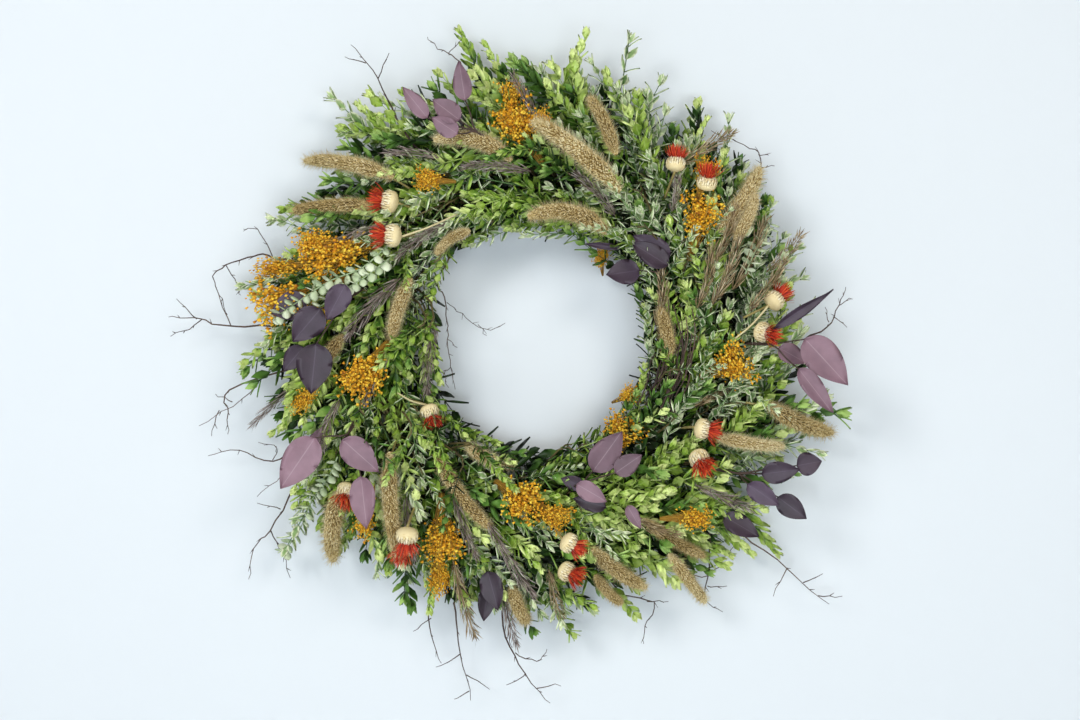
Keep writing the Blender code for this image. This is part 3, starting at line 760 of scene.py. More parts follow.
def add_foxtail(name, spine, girth, shade, replaces, template):
    spine = smooth_line(spine, 5)
    head = bent_copy(template, spine, HEAD_LENGTH, girth)
    shift_tint(head, shade)
    add_piece(name, head, MILLET, replaces)


def add_stalk(name, root, foot, radius, replaces=()):
    bm = bmesh.new()
    middle = root.lerp(foot, 0.5)
    tube(bm, smooth_line([root, middle, foot], 4), [radius] * 9, 6, tint=0.5)
    add_piece(name, new_mesh(name, bm), STRAW, replaces)


# Girth of each CAD head, and how much browner or paler than the rest it has dried
HEAD_GIRTHS = (1.0, 1.05, 1.2, 1.12, 1.1, 0.9, 0.95, 1.0, 0.9, 1.15, 1.1, 0.95)
HEAD_SHADES = (0.0, 0.04, 0.06, -0.02, 0.05, -0.06, 0.05, 0.02, -0.08, 0.0, -0.1, -0.04)

for number, node in enumerate(nodes_like("foxtail_")):
    rings = rings_of(node)
    spine = [centre for centre, radius in rings[1:]]
    template = FOXTAIL_TEMPLATES[number % 2]
    add_foxtail(f"millet_{node}", spine, HEAD_GIRTHS[number], HEAD_SHADES[number], [node], template)
    add_stalk(
        f"stalk_{node}", rings[0][0], rings[1][0].lerp(rings[2][0], 0.4), 1.1 * MM,
        [node]
    )

# Seed heads laid among the greens: foot angle and reach, tip angle and reach, lift, girth
LAID_FOXTAILS = (
    (140, 0.200, 152, 0.268, 0.004, 0.85), (67, 0.190, 78, 0.236, 0.010, 0.85),
    (27, 0.208, 34, 0.248, 0.012, 0.8),
    (332, 0.190, 337, 0.255, 0.010, 0.85), (301, 0.195, 308, 0.262, 0.004, 0.8),
    (284, 0.228, 288, 0.262, 0.0, 0.7), (302, 0.238, 303, 0.300, -0.004, 0.8),
    (235, 0.118, 260, 0.122, 0.014, 0.9),
    (178, 0.182, 190, 0.206, 0.002, 0.8), (264, 0.232, 268, 0.268, 0.0, 0.9),
    (121, 0.124, 139, 0.127, 0.0, 0.7),
)


def add_laid_foxtails():
    for number, (foot, near, tip, far, lift, girth) in enumerate(LAID_FOXTAILS):
        start = polar(foot, near, crown(foot, near) - lift)
        end = polar(tip, far, crown(tip, min(far, OUTER_REACH - 0.01)) - lift - 0.003)
        middle = (start + end) / 2 + heading((foot + tip) / 2, 0) * 0.004 + Vector((0, -0.004, 0))
        label = f"millet_laid_{number + 1:02d}"
        shade = 0.09 * ((number * 5) % 4 - 1.5)
        add_foxtail(label, [start, middle, end], girth, shade, (), FOXTAIL_TEMPLATES[number % 2])


add_laid_foxtails()


# Gold blooms -----------------------------------------------------------------------------------

BLOOM_LENGTH = 0.058


def bloom_template(name, seed, branches=30):
    """Wiry stems that fan out and carry loose clusters of tiny florets."""
    rng = Random(seed)
    floret = bmesh.new()
    shade = floret.verts.layers.float.new("tint")
    bmesh.ops.create_cone(
        floret, cap_ends=True, segments=4, radius1=0.4 * MM, radius2=1.35 * MM, depth=2.0 * MM
    )
    for v in floret.verts:
        v[shade] = 0.5 + 0.2 * v.co.z / MM
    floret = new_mesh("floret", floret)
    flowers = bmesh.new()
    stems = bmesh.new()
    for branch in range(branches):
        turn = branch * GOLDEN_ANGLE
        spread = 0.016 * (branch / branches) ** 0.6
        out = Vector((cos(turn), sin(turn), 0))
        tip = out * spread * rng.uniform(0.8, 1.15) + Vector(
            (0, 0, BLOOM_LENGTH * rng.uniform(0.72, 1.0))
        )
        line = smooth_line(
            [out * spread * 0.12, out * spread * 0.4 + Vector((0, 0, tip.z * 0.5)), tip], 3
        )
        tube(stems, line, taper(len(line), 0.32 * MM, 0.25 * MM), 4, tint=rng.uniform(0.2, 0.9))
        for _ in range(20):
            t = 0.5 + 0.5 * rng.random() ** 0.7
            at = line[0].lerp(line[3], t * 2) if t < 0.5 else line[3].lerp(tip, t * 2 - 1)
            puff = Vector((rng.gauss(0, 1), rng.gauss(0, 1), rng.gauss(0, 1))) * 2.8 * MM
            place = aim(at + puff, (puff + Vector((0, 0, 1.5 * MM))).normalized())
            strew(
                flowers, floret, place @ Matrix.Scale(rng.uniform(0.55, 1.2), 4),
                rng.gauss(0.58, 0.2)
            )
    return new_mesh(name + "_florets", flowers), new_mesh(name + "_stems", stems)


BLOOM_TEMPLATES = [bloom_template(f"bloom_{i}", 140 + i) for i in range(3)]


def add_bloom(name, foot, tip, width, number, replaces=()):
    florets, stems = BLOOM_TEMPLATES[number % 3]
    foot = foot + (foot - tip) * 0.12
    along = tip - foot
    place = aim(foot, along.normalized(), number) @ Matrix.Diagonal(
        (width, width, along.length / BLOOM_LENGTH, 1)
    )
    for template, finish, part in ((florets, GOLD, "florets"), (stems, GOLD_STEM, "stems")):
        mesh = template.copy()
        mesh.transform(place)
        add_piece(f"{name}_{part}", mesh, finish, replaces)


for number, node in enumerate(nodes_like("gold_bloom_")):
    rings = rings_of(node)
    add_bloom(f"gold_{node}", rings[0][0].lerp(rings[1][0], 0.5), rings[-1][0], 1.3, number, [node])



def add_tucked_sprigs():
    """Sprigs that lie over the foot of each head and bloom, so that it rises from the greens."""
    rng = Random(610)
    meshes = {kind: bmesh.new() for kind in FINISHES}
    for node in nodes_like("foxtail_") + nodes_like("gold_bloom_"):
        rings = rings_of(node)
        foot, tip = rings[1][0], rings[-1][0]
        along = tip - foot
        for share in (0.12, 0.28):
            end = foot + along * share
            off = end - CENTRE
            angle = degrees(np.arctan2(off.z, off.x))
            lean = degrees(
                np.arctan2(along.z, along.x)
            ) - angle + rng.choice((-1, 1)) * rng.uniform(10, 30)
            reach = Vector((off.x, off.z)).length
            kind = sprig_kind(rng, angle, ("box", "box", "myrtle"))
            depth = end.y - rng.uniform(0.008, 0.012)
            add_sprig(meshes, rng, kind, angle, reach, depth, lean, 0.2, rng.uniform(0.5, 0.7))
    add_pieces("tucked", meshes, ())


add_tucked_sprigs()

# Smaller clusters among the greens: foot angle and reach, tip angle and reach, lift, width
LAID_BLOOMS = (
    (97, 0.205, 96, 0.250, 0.0, 0.7), (118, 0.170, 127, 0.190, 0.010, 0.7),
    (190, 0.205, 196, 0.240, 0.004, 0.6),
    (222, 0.205, 228, 0.250, 0.006, 0.6), (47, 0.095, 56, 0.110, -0.012, 0.5),
    (306, 0.205, 315, 0.232, 0.010, 0.8),
    (41, 0.200, 47, 0.238, 0.012, 0.7), (170, 0.190, 176, 0.222, 0.012, 0.8),
    (244, 0.215, 249, 0.262, 0.008, 0.7),
    (323, 0.096, 334, 0.108, -0.006, 0.6), (152, 0.200, 158, 0.246, 0.010, 0.9),
    (160, 0.222, 166, 0.285, 0.0, 0.8),
    (268, 0.150, 280, 0.172, 0.012, 0.8), (86, 0.190, 91, 0.214, 0.012, 0.8),
)


def add_laid_blooms():
    for number, (foot, near, tip, far, lift, width) in enumerate(LAID_BLOOMS):
        start = polar(foot, near, crown(foot, near) - lift + 0.004)
        end = polar(tip, far, crown(tip, min(far, OUTER_REACH - 0.01)) - lift - 0.004)
        add_bloom(f"gold_laid_{number + 1:02d}", start, end, width, number + 1)


add_laid_blooms()


# Safflowers ------------------------------------------------------------------------------------

BULB_WIDTH = 0.0225
BULB_HEIGHT = 0.0165
BULB_PROFILE = (0.26, 0.74, 0.93, 1.0, 0.98, 0.88, 0.72, 0.56, 0.42, 0.30)


def bulb_radius(share):
    """Radius of a safflower's bulb at that share of its height."""
    way = min(share, 0.999) * (len(BULB_PROFILE) - 1)
    low = int(way)
    return BULB_WIDTH / 2 * (
        BULB_PROFILE[low] * (1 - way + low) + BULB_PROFILE[low + 1] * (way - low)
    )


def safflower_template(seed):
    """A bulb of overlapping papery bracts, and the tuft of petals that spills out of its mouth."""
    rng = Random(seed)
    bracts = bmesh.new()
    steps = len(BULB_PROFILE) - 1
    line = [Vector((0, 0, BULB_HEIGHT * i / steps)) for i in range(steps + 1)]
    tube(bracts, line, [bulb_radius(i / steps) * 0.94 for i in range(steps + 1)], 16, tint=0.5)
    scale = leaf_template("bract", 8.5 * MM, 4.6 * MM, 0.4, -0.12, -0.05, across=2, along=4)
    for row in range(7):
        for i in range(12):
            turn = (i + 0.5 * (row % 2)) * tau / 12 + rng.uniform(-0.05, 0.05)
            share = 0.02 + 0.115 * row
            lean = (0.70, 0.42, 0.14, -0.08, -0.28, -0.42, -0.50)[row]
            place = Matrix.Rotation(turn, 4, "Z") @ Matrix.Translation(
                (0, -bulb_radius(share) * 0.95, BULB_HEIGHT * share)
            )
            place = place @ Matrix.Rotation(lean, 4, "X") @ Matrix.Scale(rng.uniform(0.9, 1.1), 4)
            strew(bracts, scale, place, rng.uniform(0.35, 0.9))
    tuft = bmesh.new()
    petal = leaf_template(
        "petal", 14.5 * MM, 1.2 * MM, 0.6, 0.3, -0.30, across=1, along=4, thickness=0.2 * MM,
        fade=0.5
    )
    count = 150
    for i in range(count):
        share = (i / count) ** 0.6
        place = Matrix.Translation(
            (0, 0, BULB_HEIGHT * 0.80)
        ) @ Matrix.Rotation(i * GOLDEN_ANGLE, 4, "Z")
        place = place @ Matrix.Translation((0, -0.0036 * share, 0)) @ Matrix.Rotation(
            0.05 + 1.05 * share, 4, "X"
        )
        place = place @ Matrix.Rotation(
            rng.uniform(-0.5, 0.5), 4, "Z"
        ) @ Matrix.Scale(rng.uniform(0.5, 1.25), 4)
        strew(tuft, petal, place, rng.gauss(0.42, 0.2))
    return new_mesh("bulb", bracts), new_mesh("tuft", tuft)


SAFFLOWER_TEMPLATES = [safflower_template(170 + i) for i in range(2)]


def add_safflower(name, foot, along, size, number, replaces=()):
    place = aim(foot, along, number * 1.3, size)
    for template, finish, part in zip(
            SAFFLOWER_TEMPLATES[number % 2], (BRACT, TUFT), ("bulb", "tuft")
    ):
        mesh = template.copy()
        mesh.transform(place)
        add_piece(f"{name}_{part}", mesh, finish, replaces)


BULB_SIZES = (1.0, 1.0, 0.85, 0.95, 0.9, 0.85, 0.95, 0.88)

for number, node in enumerate(nodes_like("safflower_")):
    rings = rings_of(node)
    foot, tip = rings[2][0], rings[-1][0]
    add_safflower(
        f"bloom_{node}", foot, (tip - foot).normalized(), BULB_SIZES[number], number, [node]
    )
    add_stalk(f"stalk_{node}", rings[0][0], foot, 1.2 * MM, [node])

# More of them: angle and reach of the bulb's foot, lean of its tip from outward, forward tilt, lift
LAID_SAFFLOWERS = (
    (42, 0.212, 40, 0.5, 0.012), (3, 0.206, -20, 0.9, 0.008), (325, 0.182, -30, 1.2, 0.010),
    (276, 0.216, 60, 0.6, -0.012), (217, 0.224, 40, 0.7, 0.0), (237, 0.222, 8, 0.6, 0.014),
)


# Pale bare stalks that lie on the greens behind some of them: node, angle and reach of the far end
LONG_STALKS = (
    ("safflower_02", 122, 0.142), ("safflower_04", 1, 0.186), ("safflower_06", 200, 0.140)
)


def add_long_stalks():
    bm = bmesh.new()
    for node, angle, reach in LONG_STALKS:
        foot = rings_of(node)[2][0]
        end = polar(angle, reach, crown(angle, reach) - 0.006)
        middle = foot.lerp(end, 0.5) + Vector((0, -0.004, -0.002))
        tube(bm, smooth_line([foot, middle, end], 5), taper(11, 1.1 * MM, 0.8 * MM), 6, tint=0.9)
    add_piece("long_stalks", new_mesh("long_stalks", bm), STRAW)


add_long_stalks()


def add_laid_safflowers():
    for number, (angle, reach, lean, forward, lift) in enumerate(LAID_SAFFLOWERS):
        foot = polar(angle, reach, crown(angle, reach) - lift)
        add_safflower(
            f"bloom_laid_{number + 1:02d}", foot, heading(angle, lean, forward), 0.9, number
        )


add_laid_safflowers()


# Eucalyptus ------------------------------------------------------------------------------------


def blades_of(node, root):
    """Each flat blade of a CAD sprig: its middle, the heading of its tip, length and width."""
    bm = bmesh.new()
    bm.from_mesh(NODES[node].data)
    bmesh.ops.remove_doubles(bm, verts=bm.verts, dist=1e-6)
    bm.normal_update()
    left = {f for f in bm.faces if f.normal.y < -0.999}
    blades = []
    while left:
        patch = [left.pop()]
        for face in patch:
            touching = {f for e in face.edges for f in e.link_faces} & left
            left -= touching
            patch.extend(touching)
        if sum(f.calc_area() for f in patch) < 1.5e-4:
            continue
        flat = np.array([[v.co.x, v.co.z] for v in {v for f in patch for v in f.verts}])
        axis = np.linalg.svd(flat - flat.mean(0), full_matrices=False)[2][0]
        along = flat @ axis
        across = flat @ np.array([-axis[1], axis[0]])
        half = (along.max() + along.min()) / 2
        turn = 1 if np.array([root.x, root.z]) @ axis < half else -1
        middle = axis * half + np.array([-axis[1], axis[0]]) * (across.max() + across.min()) / 2
        place = Vector((middle[0], patch[0].verts[0].co.y, middle[1]))
        blades.append((place, Vector((axis[0], 0, axis[1])) * turn, np.ptp(along), np.ptp(across)))
    bm.free()
    return blades


def broad_leaf(name, seed, across=6, along=16):
    """A silver-dollar leaf of unit length and width, cupped along its midrib and gently waved."""
    rng = Random(seed)
    wave = rng.uniform(0.5, 1.0)
    bm = bmesh.new()
    tint = bm.verts.layers.float.new("tint")
    rim = bm.verts.layers.float.new("rim")
    bmesh.ops.create_grid(bm, x_segments=across, y_segments=along, size=0.5)
    for v in bm.verts:
        side, way = v.co.x * 2, v.co.y + 0.5
        if way < 0.38:
            swell = (1 - (1 - way / 0.38) ** 2.2) ** 0.6
        else:
            swell = 1 - ((way - 0.38) / 0.62) ** 1.9
        half = 0.5 * max(0.02, swell)
        v[tint] = 0.5
        v[rim] = abs(side)
        droop = 0.10 * wave * way * way + 0.03 * sin(7 * way + seed) * side
        v.co = Vector((side * half, -0.10 * abs(side) ** 1.4 + droop, way))
    bmesh.ops.solidify(bm, geom=bm.faces[:], thickness=0.012)
    return new_mesh(name, bm)


BROAD_LEAVES = [broad_leaf(f"broad_leaf_{i}", i) for i in range(3)]


def lay_leaf(bm, number, middle, direction, length, width, rng, tilt=0.3):
    """Lays a broad leaf with its face to the room, tipped a little out of the wreath's plane."""
    along = (direction + Vector((0, rng.uniform(-tilt, tilt * 0.4), 0))).normalized()
    normal = (
        Vector((0, -1, 0)) + Vector((rng.uniform(-tilt, tilt), 0, rng.uniform(-tilt, tilt)))
    ).normalized()
    side = along.cross(normal).normalized()
    normal = side.cross(along)
    rotation = Matrix((side, -normal, along)).transposed().to_4x4()
    heel = middle - along * length / 2
    place = Matrix.Translation(heel) @ rotation @ Matrix.Diagonal((width, length * 0.5, length, 1))
    strew(bm, BROAD_LEAVES[number % 3], place, rng.gauss(0.5, 0.16))
    return heel


PLUM_SPRIGS = ("eucalyptus_sprig_02", "eucalyptus_sprig_05", "eucalyptus_sprig_07")

for number, node in enumerate(nodes_like("eucalyptus_sprig_")):
    rng = Random(210 + number)
    leaves = bmesh.new()
    turned = bmesh.new()
    stems = bmesh.new()
    root = min((v.co for v in NODES[node].data.vertices), key=off_the_stems).copy()
    heels = []
    for i, (middle, direction, length, width) in enumerate(blades_of(node, root)):
        # Blades narrow in the CAD stand for leaves turned edge-on; they are laid face-on but
        # narrower, with the dark plum finish as painted shade.
        edge_on = width < 0.3 * length
        into = turned if edge_on else leaves
        width *= 0.6 if edge_on else 0.98
        heels.append(lay_leaf(into, i + number, middle, direction, length * 1.05, width, rng))
    gather = root.lerp(sum(heels, Vector()) / len(heels), 0.55)
    gather.y = min(gather.y, sum(h.y for h in heels) / len(heels) + 0.012)
    for heel in heels:
        line = smooth_line([root, gather, gather.lerp(heel, 0.6) + Vector((0, 0.003, 0)), heel], 4)
        tube(stems, line, taper(len(line), 1.1 * MM, 0.6 * MM), 5, tint=0.4)
    finish = PLUM if node in PLUM_SPRIGS else MAUVE
    add_piece(
        f"leaves_{node}", new_mesh(f"leaves_{node}", leaves), finish, [node]
    )
    if turned.verts:
        add_piece(
            f"turned_{node}", new_mesh(f"turned_{node}", turned), PLUM, [node]
        )
    add_piece(f"stems_{node}", new_mesh(f"stems_{node}", stems), BARK, [node])

# Leaves of the same kind on short stalks of their own:
# finish, angle, reach, length, width, heading, lift
LOOSE_LEAVES = (
    ("plum", 110, 0.222, 0.034, 0.014, 95, 0.006), ("plum", 40, 0.140, 0.040, 0.022, 150, 0.012),
    ("plum", 56, 0.112, 0.036, 0.007, 175, 0.0), ("plum", 284, 0.136, 0.022, 0.014, 160, 0.010),
    ("plum", 288, 0.158, 0.032, 0.016, 165, 0.012), ("mauve", 309, 0.180, 0.020, 0.008, 10, 0.014),
    ("mauve", 299, 0.187, 0.025, 0.012, 300, 0.014), ("plum", 260, 0.238, 0.038, 0.022, 285, 0.012),
    ("plum", 259, 0.253, 0.034, 0.018, 262, 0.008), ("mauve", 357, 0.243, 0.030, 0.020, 330, 0.010),
    ("plum", 172, 0.236, 0.036, 0.028, 200, 0.016), ("plum", 184, 0.230, 0.030, 0.020, 230, 0.008),
    ("mauve", 204, 0.228, 0.030, 0.014, 60, 0.008), ("plum", 318, 0.262, 0.038, 0.022, 330, 0.008),
)


def add_loose_leaves():
    rng = Random(260)
    meshes = {"plum": bmesh.new(), "mauve": bmesh.new()}
    for number, (kind, angle, reach, length, width, toward, lift) in enumerate(LOOSE_LEAVES):
        middle = polar(angle, reach, crown(angle, min(reach, OUTER_REACH - 0.01)) - lift)
        lay_leaf(meshes[kind], number, middle, heading(toward, 0), length, width, rng)
    for kind, finish in (("plum", PLUM), ("mauve", MAUVE)):
        add_piece(
            f"loose_leaves_{kind}", new_mesh(f"loose_leaves_{kind}", meshes[kind]), finish,
        )


add_loose_leaves()


# Twigs -----------------------------------------------------------------------------------------

# Each twig: the CAD node it stands for or none, its thickness, and its shoots, each a line of
# corners given as an angle, a reach and a depth
TWIGS = (
    ("birch_twig_01", 1.0,
        ((122, 0.225, -0.046), (122, 0.262, -0.046), (121, 0.300, -0.040), (122, 0.345, -0.030)),
        ((121, 0.300, -0.040), (117, 0.318, -0.034)),
        ((121.5, 0.320, -0.036), (124, 0.338, -0.028)),
    ),
    ("birch_twig_02", 1.0,
        ((176, 0.248, -0.030), (177, 0.300, -0.030), (176, 0.335, -0.026), (176, 0.366, -0.020)),
        ((176, 0.335, -0.026), (173, 0.360, -0.020)),
        ((177, 0.300, -0.030), (170, 0.322, -0.026)),
        ((176, 0.330, -0.026), (178, 0.348, -0.022), (179, 0.362, -0.024)),
    ),
    ("birch_twig_03", 1.0,
        ((262, 0.250, -0.030), (264, 0.290, -0.030), (268, 0.325, -0.026), (272, 0.357, -0.022)),
        ((268, 0.325, -0.026), (265, 0.340, -0.020)),
        ((266, 0.305, -0.028), (270, 0.312, -0.030), (272, 0.300, -0.032)),
        ((270, 0.340, -0.024), (274, 0.338, -0.022)),
    ),
    ("birch_twig_04", 1.0,
        ((317, 0.235, -0.034), (317, 0.275, -0.034), (318, 0.330, -0.030), (318, 0.385, -0.022)),
        ((318, 0.330, -0.030), (313, 0.340, -0.026)),
        ((318, 0.352, -0.027), (321, 0.362, -0.022)),
        ((318, 0.372, -0.024), (320, 0.390, -0.026)),
    ),
    (None, 0.7,
        ((105, 0.255, -0.046), (105.5, 0.283, -0.040), (108, 0.300, -0.036), (110, 0.318, -0.032)),
        ((107, 0.295, -0.038), (104, 0.305, -0.034)),
    ),
    (None, 0.9,
        ((160, 0.232, -0.040), (162, 0.270, -0.034), (163, 0.291, -0.030), (166, 0.315, -0.026),
         (168.5, 0.325, -0.024), (172, 0.314, -0.022), (176, 0.304, -0.020)),
        ((162, 0.272, -0.032), (158, 0.297, -0.026), (159, 0.311, -0.022)),
        ((166, 0.315, -0.026), (169, 0.300, -0.022), (171, 0.296, -0.022)),
    ),
    (None, 0.9,
        ((186, 0.235, -0.036), (188.7, 0.305, -0.028), (193, 0.312, -0.022),
         (196.5, 0.318, -0.018)),
        ((187, 0.270, -0.030), (190.7, 0.294, -0.026), (193.7, 0.343, -0.018)),
        ((191, 0.305, -0.026), (189, 0.322, -0.022)),
        ((192, 0.320, -0.022), (196, 0.334, -0.018)),
    ),
    (None, 0.8,
        ((203, 0.250, -0.034), (204.4, 0.285, -0.028), (199.8, 0.312, -0.022),
         (198.9, 0.343, -0.018)),
        ((206, 0.255, -0.034), (207.6, 0.281, -0.028), (208.6, 0.315, -0.020)),
        ((204, 0.284, -0.028), (202, 0.276, -0.022), (199.8, 0.291, -0.020)),
    ),
    (None, 1.0,
        ((210, 0.250, -0.034), (211, 0.278, -0.030), (215.2, 0.320, -0.026), (216, 0.345, -0.022),
         (219.4, 0.368, -0.018)),
        ((215.2, 0.320, -0.026), (220, 0.326, -0.022), (223.5, 0.336, -0.018)),
        ((213, 0.300, -0.028), (210, 0.316, -0.024)),
    ),
    (None, 0.9,
        ((246, 0.250, -0.034), (247.4, 0.275, -0.028), (250, 0.305, -0.024),
         (253.3, 0.330, -0.020)),
        ((249, 0.290, -0.026), (247, 0.310, -0.022)),
    ),
    (None, 1.0,
        ((252, 0.250, -0.034), (253, 0.275, -0.028), (256.2, 0.315, -0.024),
         (259.5, 0.358, -0.018)),
        ((256.2, 0.315, -0.024), (253, 0.336, -0.020)),
        ((258, 0.335, -0.020), (262, 0.345, -0.018)),
        ((259, 0.350, -0.020), (257, 0.362, -0.016)),
    ),
    (None, 0.7,
        ((263, 0.250, -0.034), (264.3, 0.277, -0.028), (265, 0.300, -0.022)),
    ),
    (None, 0.8,
        ((287, 0.240, -0.036), (289, 0.262, -0.030), (294.1, 0.281, -0.026), (291, 0.300, -0.022),
         (289.5, 0.314, -0.018)),
        ((293, 0.276, -0.028), (297, 0.285, -0.024)),
    ),
    (None, 0.9,
        ((313, 0.240, -0.038), (312, 0.252, -0.034), (307, 0.280, -0.028), (303, 0.302, -0.024),
         (304.5, 0.322, -0.020)),
        ((302, 0.262, -0.034), (306, 0.284, -0.028), (312, 0.279, -0.024), (315, 0.278, -0.022)),
        ((305, 0.292, -0.026), (308, 0.304, -0.022)),
    ),
    (None, 0.8,
        ((1, 0.262, -0.044), (3, 0.284, -0.036), (7, 0.298, -0.030), (10.2, 0.308, -0.026)),
        ((4, 0.286, -0.034), (7, 0.284, -0.030)),
        ((7, 0.298, -0.030), (8, 0.312, -0.026)),
        ((5, 0.291, -0.032), (3, 0.306, -0.028)),
    ),
    (None, 0.8,
        ((26, 0.215, -0.075), (29, 0.232, -0.070), (36.8, 0.268, -0.052), (40.3, 0.282, -0.044),
         (45, 0.276, -0.040), (50.4, 0.267, -0.036)),
        ((38, 0.272, -0.050), (36.7, 0.288, -0.042)),
        ((40.3, 0.282, -0.044), (39, 0.290, -0.040)),
        ((47, 0.272, -0.038), (46, 0.262, -0.036), (48, 0.256, -0.036)),
    ),
    (None, 0.6,
        ((150, 0.116, -0.046), (154, 0.100, -0.040), (166, 0.090, -0.036), (178, 0.087, -0.034),
         (196, 0.088, -0.030), (210, 0.092, -0.030)),
        ((156, 0.096, -0.040), (159, 0.078, -0.038), (166, 0.052, -0.036), (150, 0.036, -0.034)),
        ((178, 0.087, -0.034), (183, 0.078, -0.032)),
        ((163, 0.060, -0.037), (172, 0.050, -0.034)),
        ((196, 0.088, -0.030), (199, 0.096, -0.030), (206, 0.098, -0.030)),
    ),
)


def crooked(rng, points, kink):
    """Corners turned to a line that wanders a little at every bud."""
    line = smooth_line(points, 4)
    return [line[0]] + [p + Vector([rng.gauss(0, kink) for _ in range(3)]) for p in line[1:]]


def add_twigs():
    loose = bmesh.new()
    for number, (node, thickness, *shoots) in enumerate(TWIGS):
        rng = Random(300 + number)
        bm = bmesh.new() if node else loose
        if node:
            root, entry = [centre for centre, _ in rings_of(node)[:2]]
            tube(bm, [root, root.lerp(entry, 0.5), entry], [1.5 * MM] * 3, 6, tint=0.35)
        for order, corners in enumerate(shoots):
            line = crooked(rng, [polar(*corner) for corner in corners], 0.8 * MM)
            thick = (1.15 if order == 0 else 0.6) * thickness * MM
            tube(bm, line, taper(len(line), thick, 0.28 * MM), 5, tint=rng.uniform(0.3, 0.7))
            for i in range(2, len(line) - 1, 2):
                along = (line[i + 1] - line[i]).normalized()
                side = (
                    along + Vector(
                        [rng.uniform(-1, 1), rng.uniform(-0.5, 0.3), rng.uniform(-1, 1)]
                    ) * 0.8
                ).normalized()
                bud = [
                    line[i], line[i] + side * 1.6 * MM, line[i] + side * rng.uniform(2.5, 7) * MM
                ]
                tube(
                    bm, bud, [0.4 * MM, 0.55 * MM * thickness, 0.15 * MM], 4,
                    tint=rng.uniform(0.2, 0.6)
                )
        if node:
            add_piece(f"bark_{node}", new_mesh(f"bark_{node}", bm), BARK, [node])
    add_piece("bark_laid_twigs", new_mesh("bark_laid_twigs", loose), BARK)


add_twigs()


BARE_STEMS = 22


def add_bare_stems():
    """Stems laid bare along the inside of the ring, where the greens part."""
    rng = Random(320)
    bm = bmesh.new()
    for _ in range(BARE_STEMS):
        start = rng.uniform(325, 352)
        reach = rng.uniform(0.112, 0.150)
        line = []
        for step in range(5):
            angle = start + step * rng.uniform(6.5, 7.5)
            line.append(polar(angle, reach, crown(angle, reach) - rng.uniform(-0.002, 0.006)))
            reach += rng.uniform(-0.002, 0.004)
        line = smooth_line(line, 3)
        tube(bm, line, taper(len(line), 0.9 * MM, 0.5 * MM), 5, tint=rng.uniform(0.1, 0.8))
    add_piece("bare_stems", new_mesh("bare_stems", bm), BARK)


add_bare_stems()


# Grass plumes and the round-leaved sprig ---------------------------------------------------------

PLUME_LENGTH = 0.055


def plume_template(name, seed):
    """A grass head: narrow husks swept along a stem, thickest in the middle."""
    rng = Random(seed)
    husk = leaf_template(
        "husk", 10 * MM, 0.95 * MM, 0.4, 0.3, 0.08, across=1, along=2, thickness=0.25 * MM, fade=0.5
    )
    bm = bmesh.new()
    bm.verts.layers.float.new("tint")
    bm.verts.layers.float.new("rim")
    tube(
        bm, [Vector((0, 0, PLUME_LENGTH * i / 6)) for i in range(7)], taper(7, 0.6 * MM, 0.25 * MM),
        4, tint=0.3
    )
    for i in range(130):
        t = (i + 0.5) / 130
        turn = i * GOLDEN_ANGLE
        spread = 4.2 * MM * sin(pi * (0.12 + 0.80 * t)) * rng.uniform(0.1, 1.0)
        foot = Vector((cos(turn) * spread, sin(turn) * spread, PLUME_LENGTH * t))
        out = Vector((cos(turn), sin(turn), 0))
        along = (Vector((0, 0, 1)) + out * rng.uniform(0.12, 0.5)).normalized()
        strew(
            bm, husk, aim(foot, along, rng.uniform(0, tau), rng.uniform(0.7, 1.3)),
            rng.gauss(0.5, 0.22)
        )
    return new_mesh(name, bm)


PLUME_TEMPLATES = [plume_template(f"plume_{i}", 330 + i) for i in range(3)]

# Foot angle and reach, tip angle and reach, lift, girth
PLUMES = (
    (155, 0.142, 178, 0.176, 0.010, 1.3), (169, 0.100, 203, 0.114, 0.004, 1.1),
    (196, 0.192, 206, 0.224, 0.010, 1.0),
    (92, 0.160, 112, 0.176, 0.012, 1.0), (90, 0.205, 95, 0.252, 0.010, 1.0),
    (58, 0.140, 76, 0.160, 0.010, 1.0),
    (51, 0.215, 47, 0.270, 0.010, 1.2), (15, 0.190, 28, 0.244, 0.012, 1.2),
    (17, 0.228, 22, 0.272, 0.004, 1.0),
    (8, 0.116, 30, 0.136, 0.008, 1.1), (12, 0.154, 28, 0.186, 0.012, 1.1),
    (318, 0.200, 322, 0.254, 0.012, 1.0),
    (255, 0.175, 269, 0.236, 0.014, 1.1), (249, 0.222, 258, 0.292, 0.002, 1.2),
    (273, 0.215, 275, 0.266, 0.006, 1.0),
    (262, 0.236, 266, 0.288, 0.0, 1.0), (141, 0.176, 153, 0.208, 0.006, 0.9),
    (338, 0.160, 350, 0.200, 0.010, 0.9),
    (230, 0.190, 240, 0.232, 0.012, 0.9), (297, 0.180, 306, 0.222, 0.012, 0.9),
    (118, 0.196, 128, 0.226, 0.008, 0.9),
    (184, 0.140, 199, 0.168, 0.010, 1.0), (44, 0.176, 52, 0.212, 0.012, 0.9),
    (190, 0.232, 196, 0.290, -0.006, 0.8),
    (12, 0.168, 27, 0.212, 0.014, 1.1), (24, 0.180, 34, 0.226, 0.014, 1.1),
    (8, 0.200, 18, 0.246, 0.012, 1.0),
    (126, 0.140, 148, 0.152, 0.010, 1.0), (240, 0.160, 254, 0.206, 0.012, 0.9),
)

HAY_PLUMES = (6, 7, 8, 9, 10, 13, 14, 17, 19, 24, 25, 26)


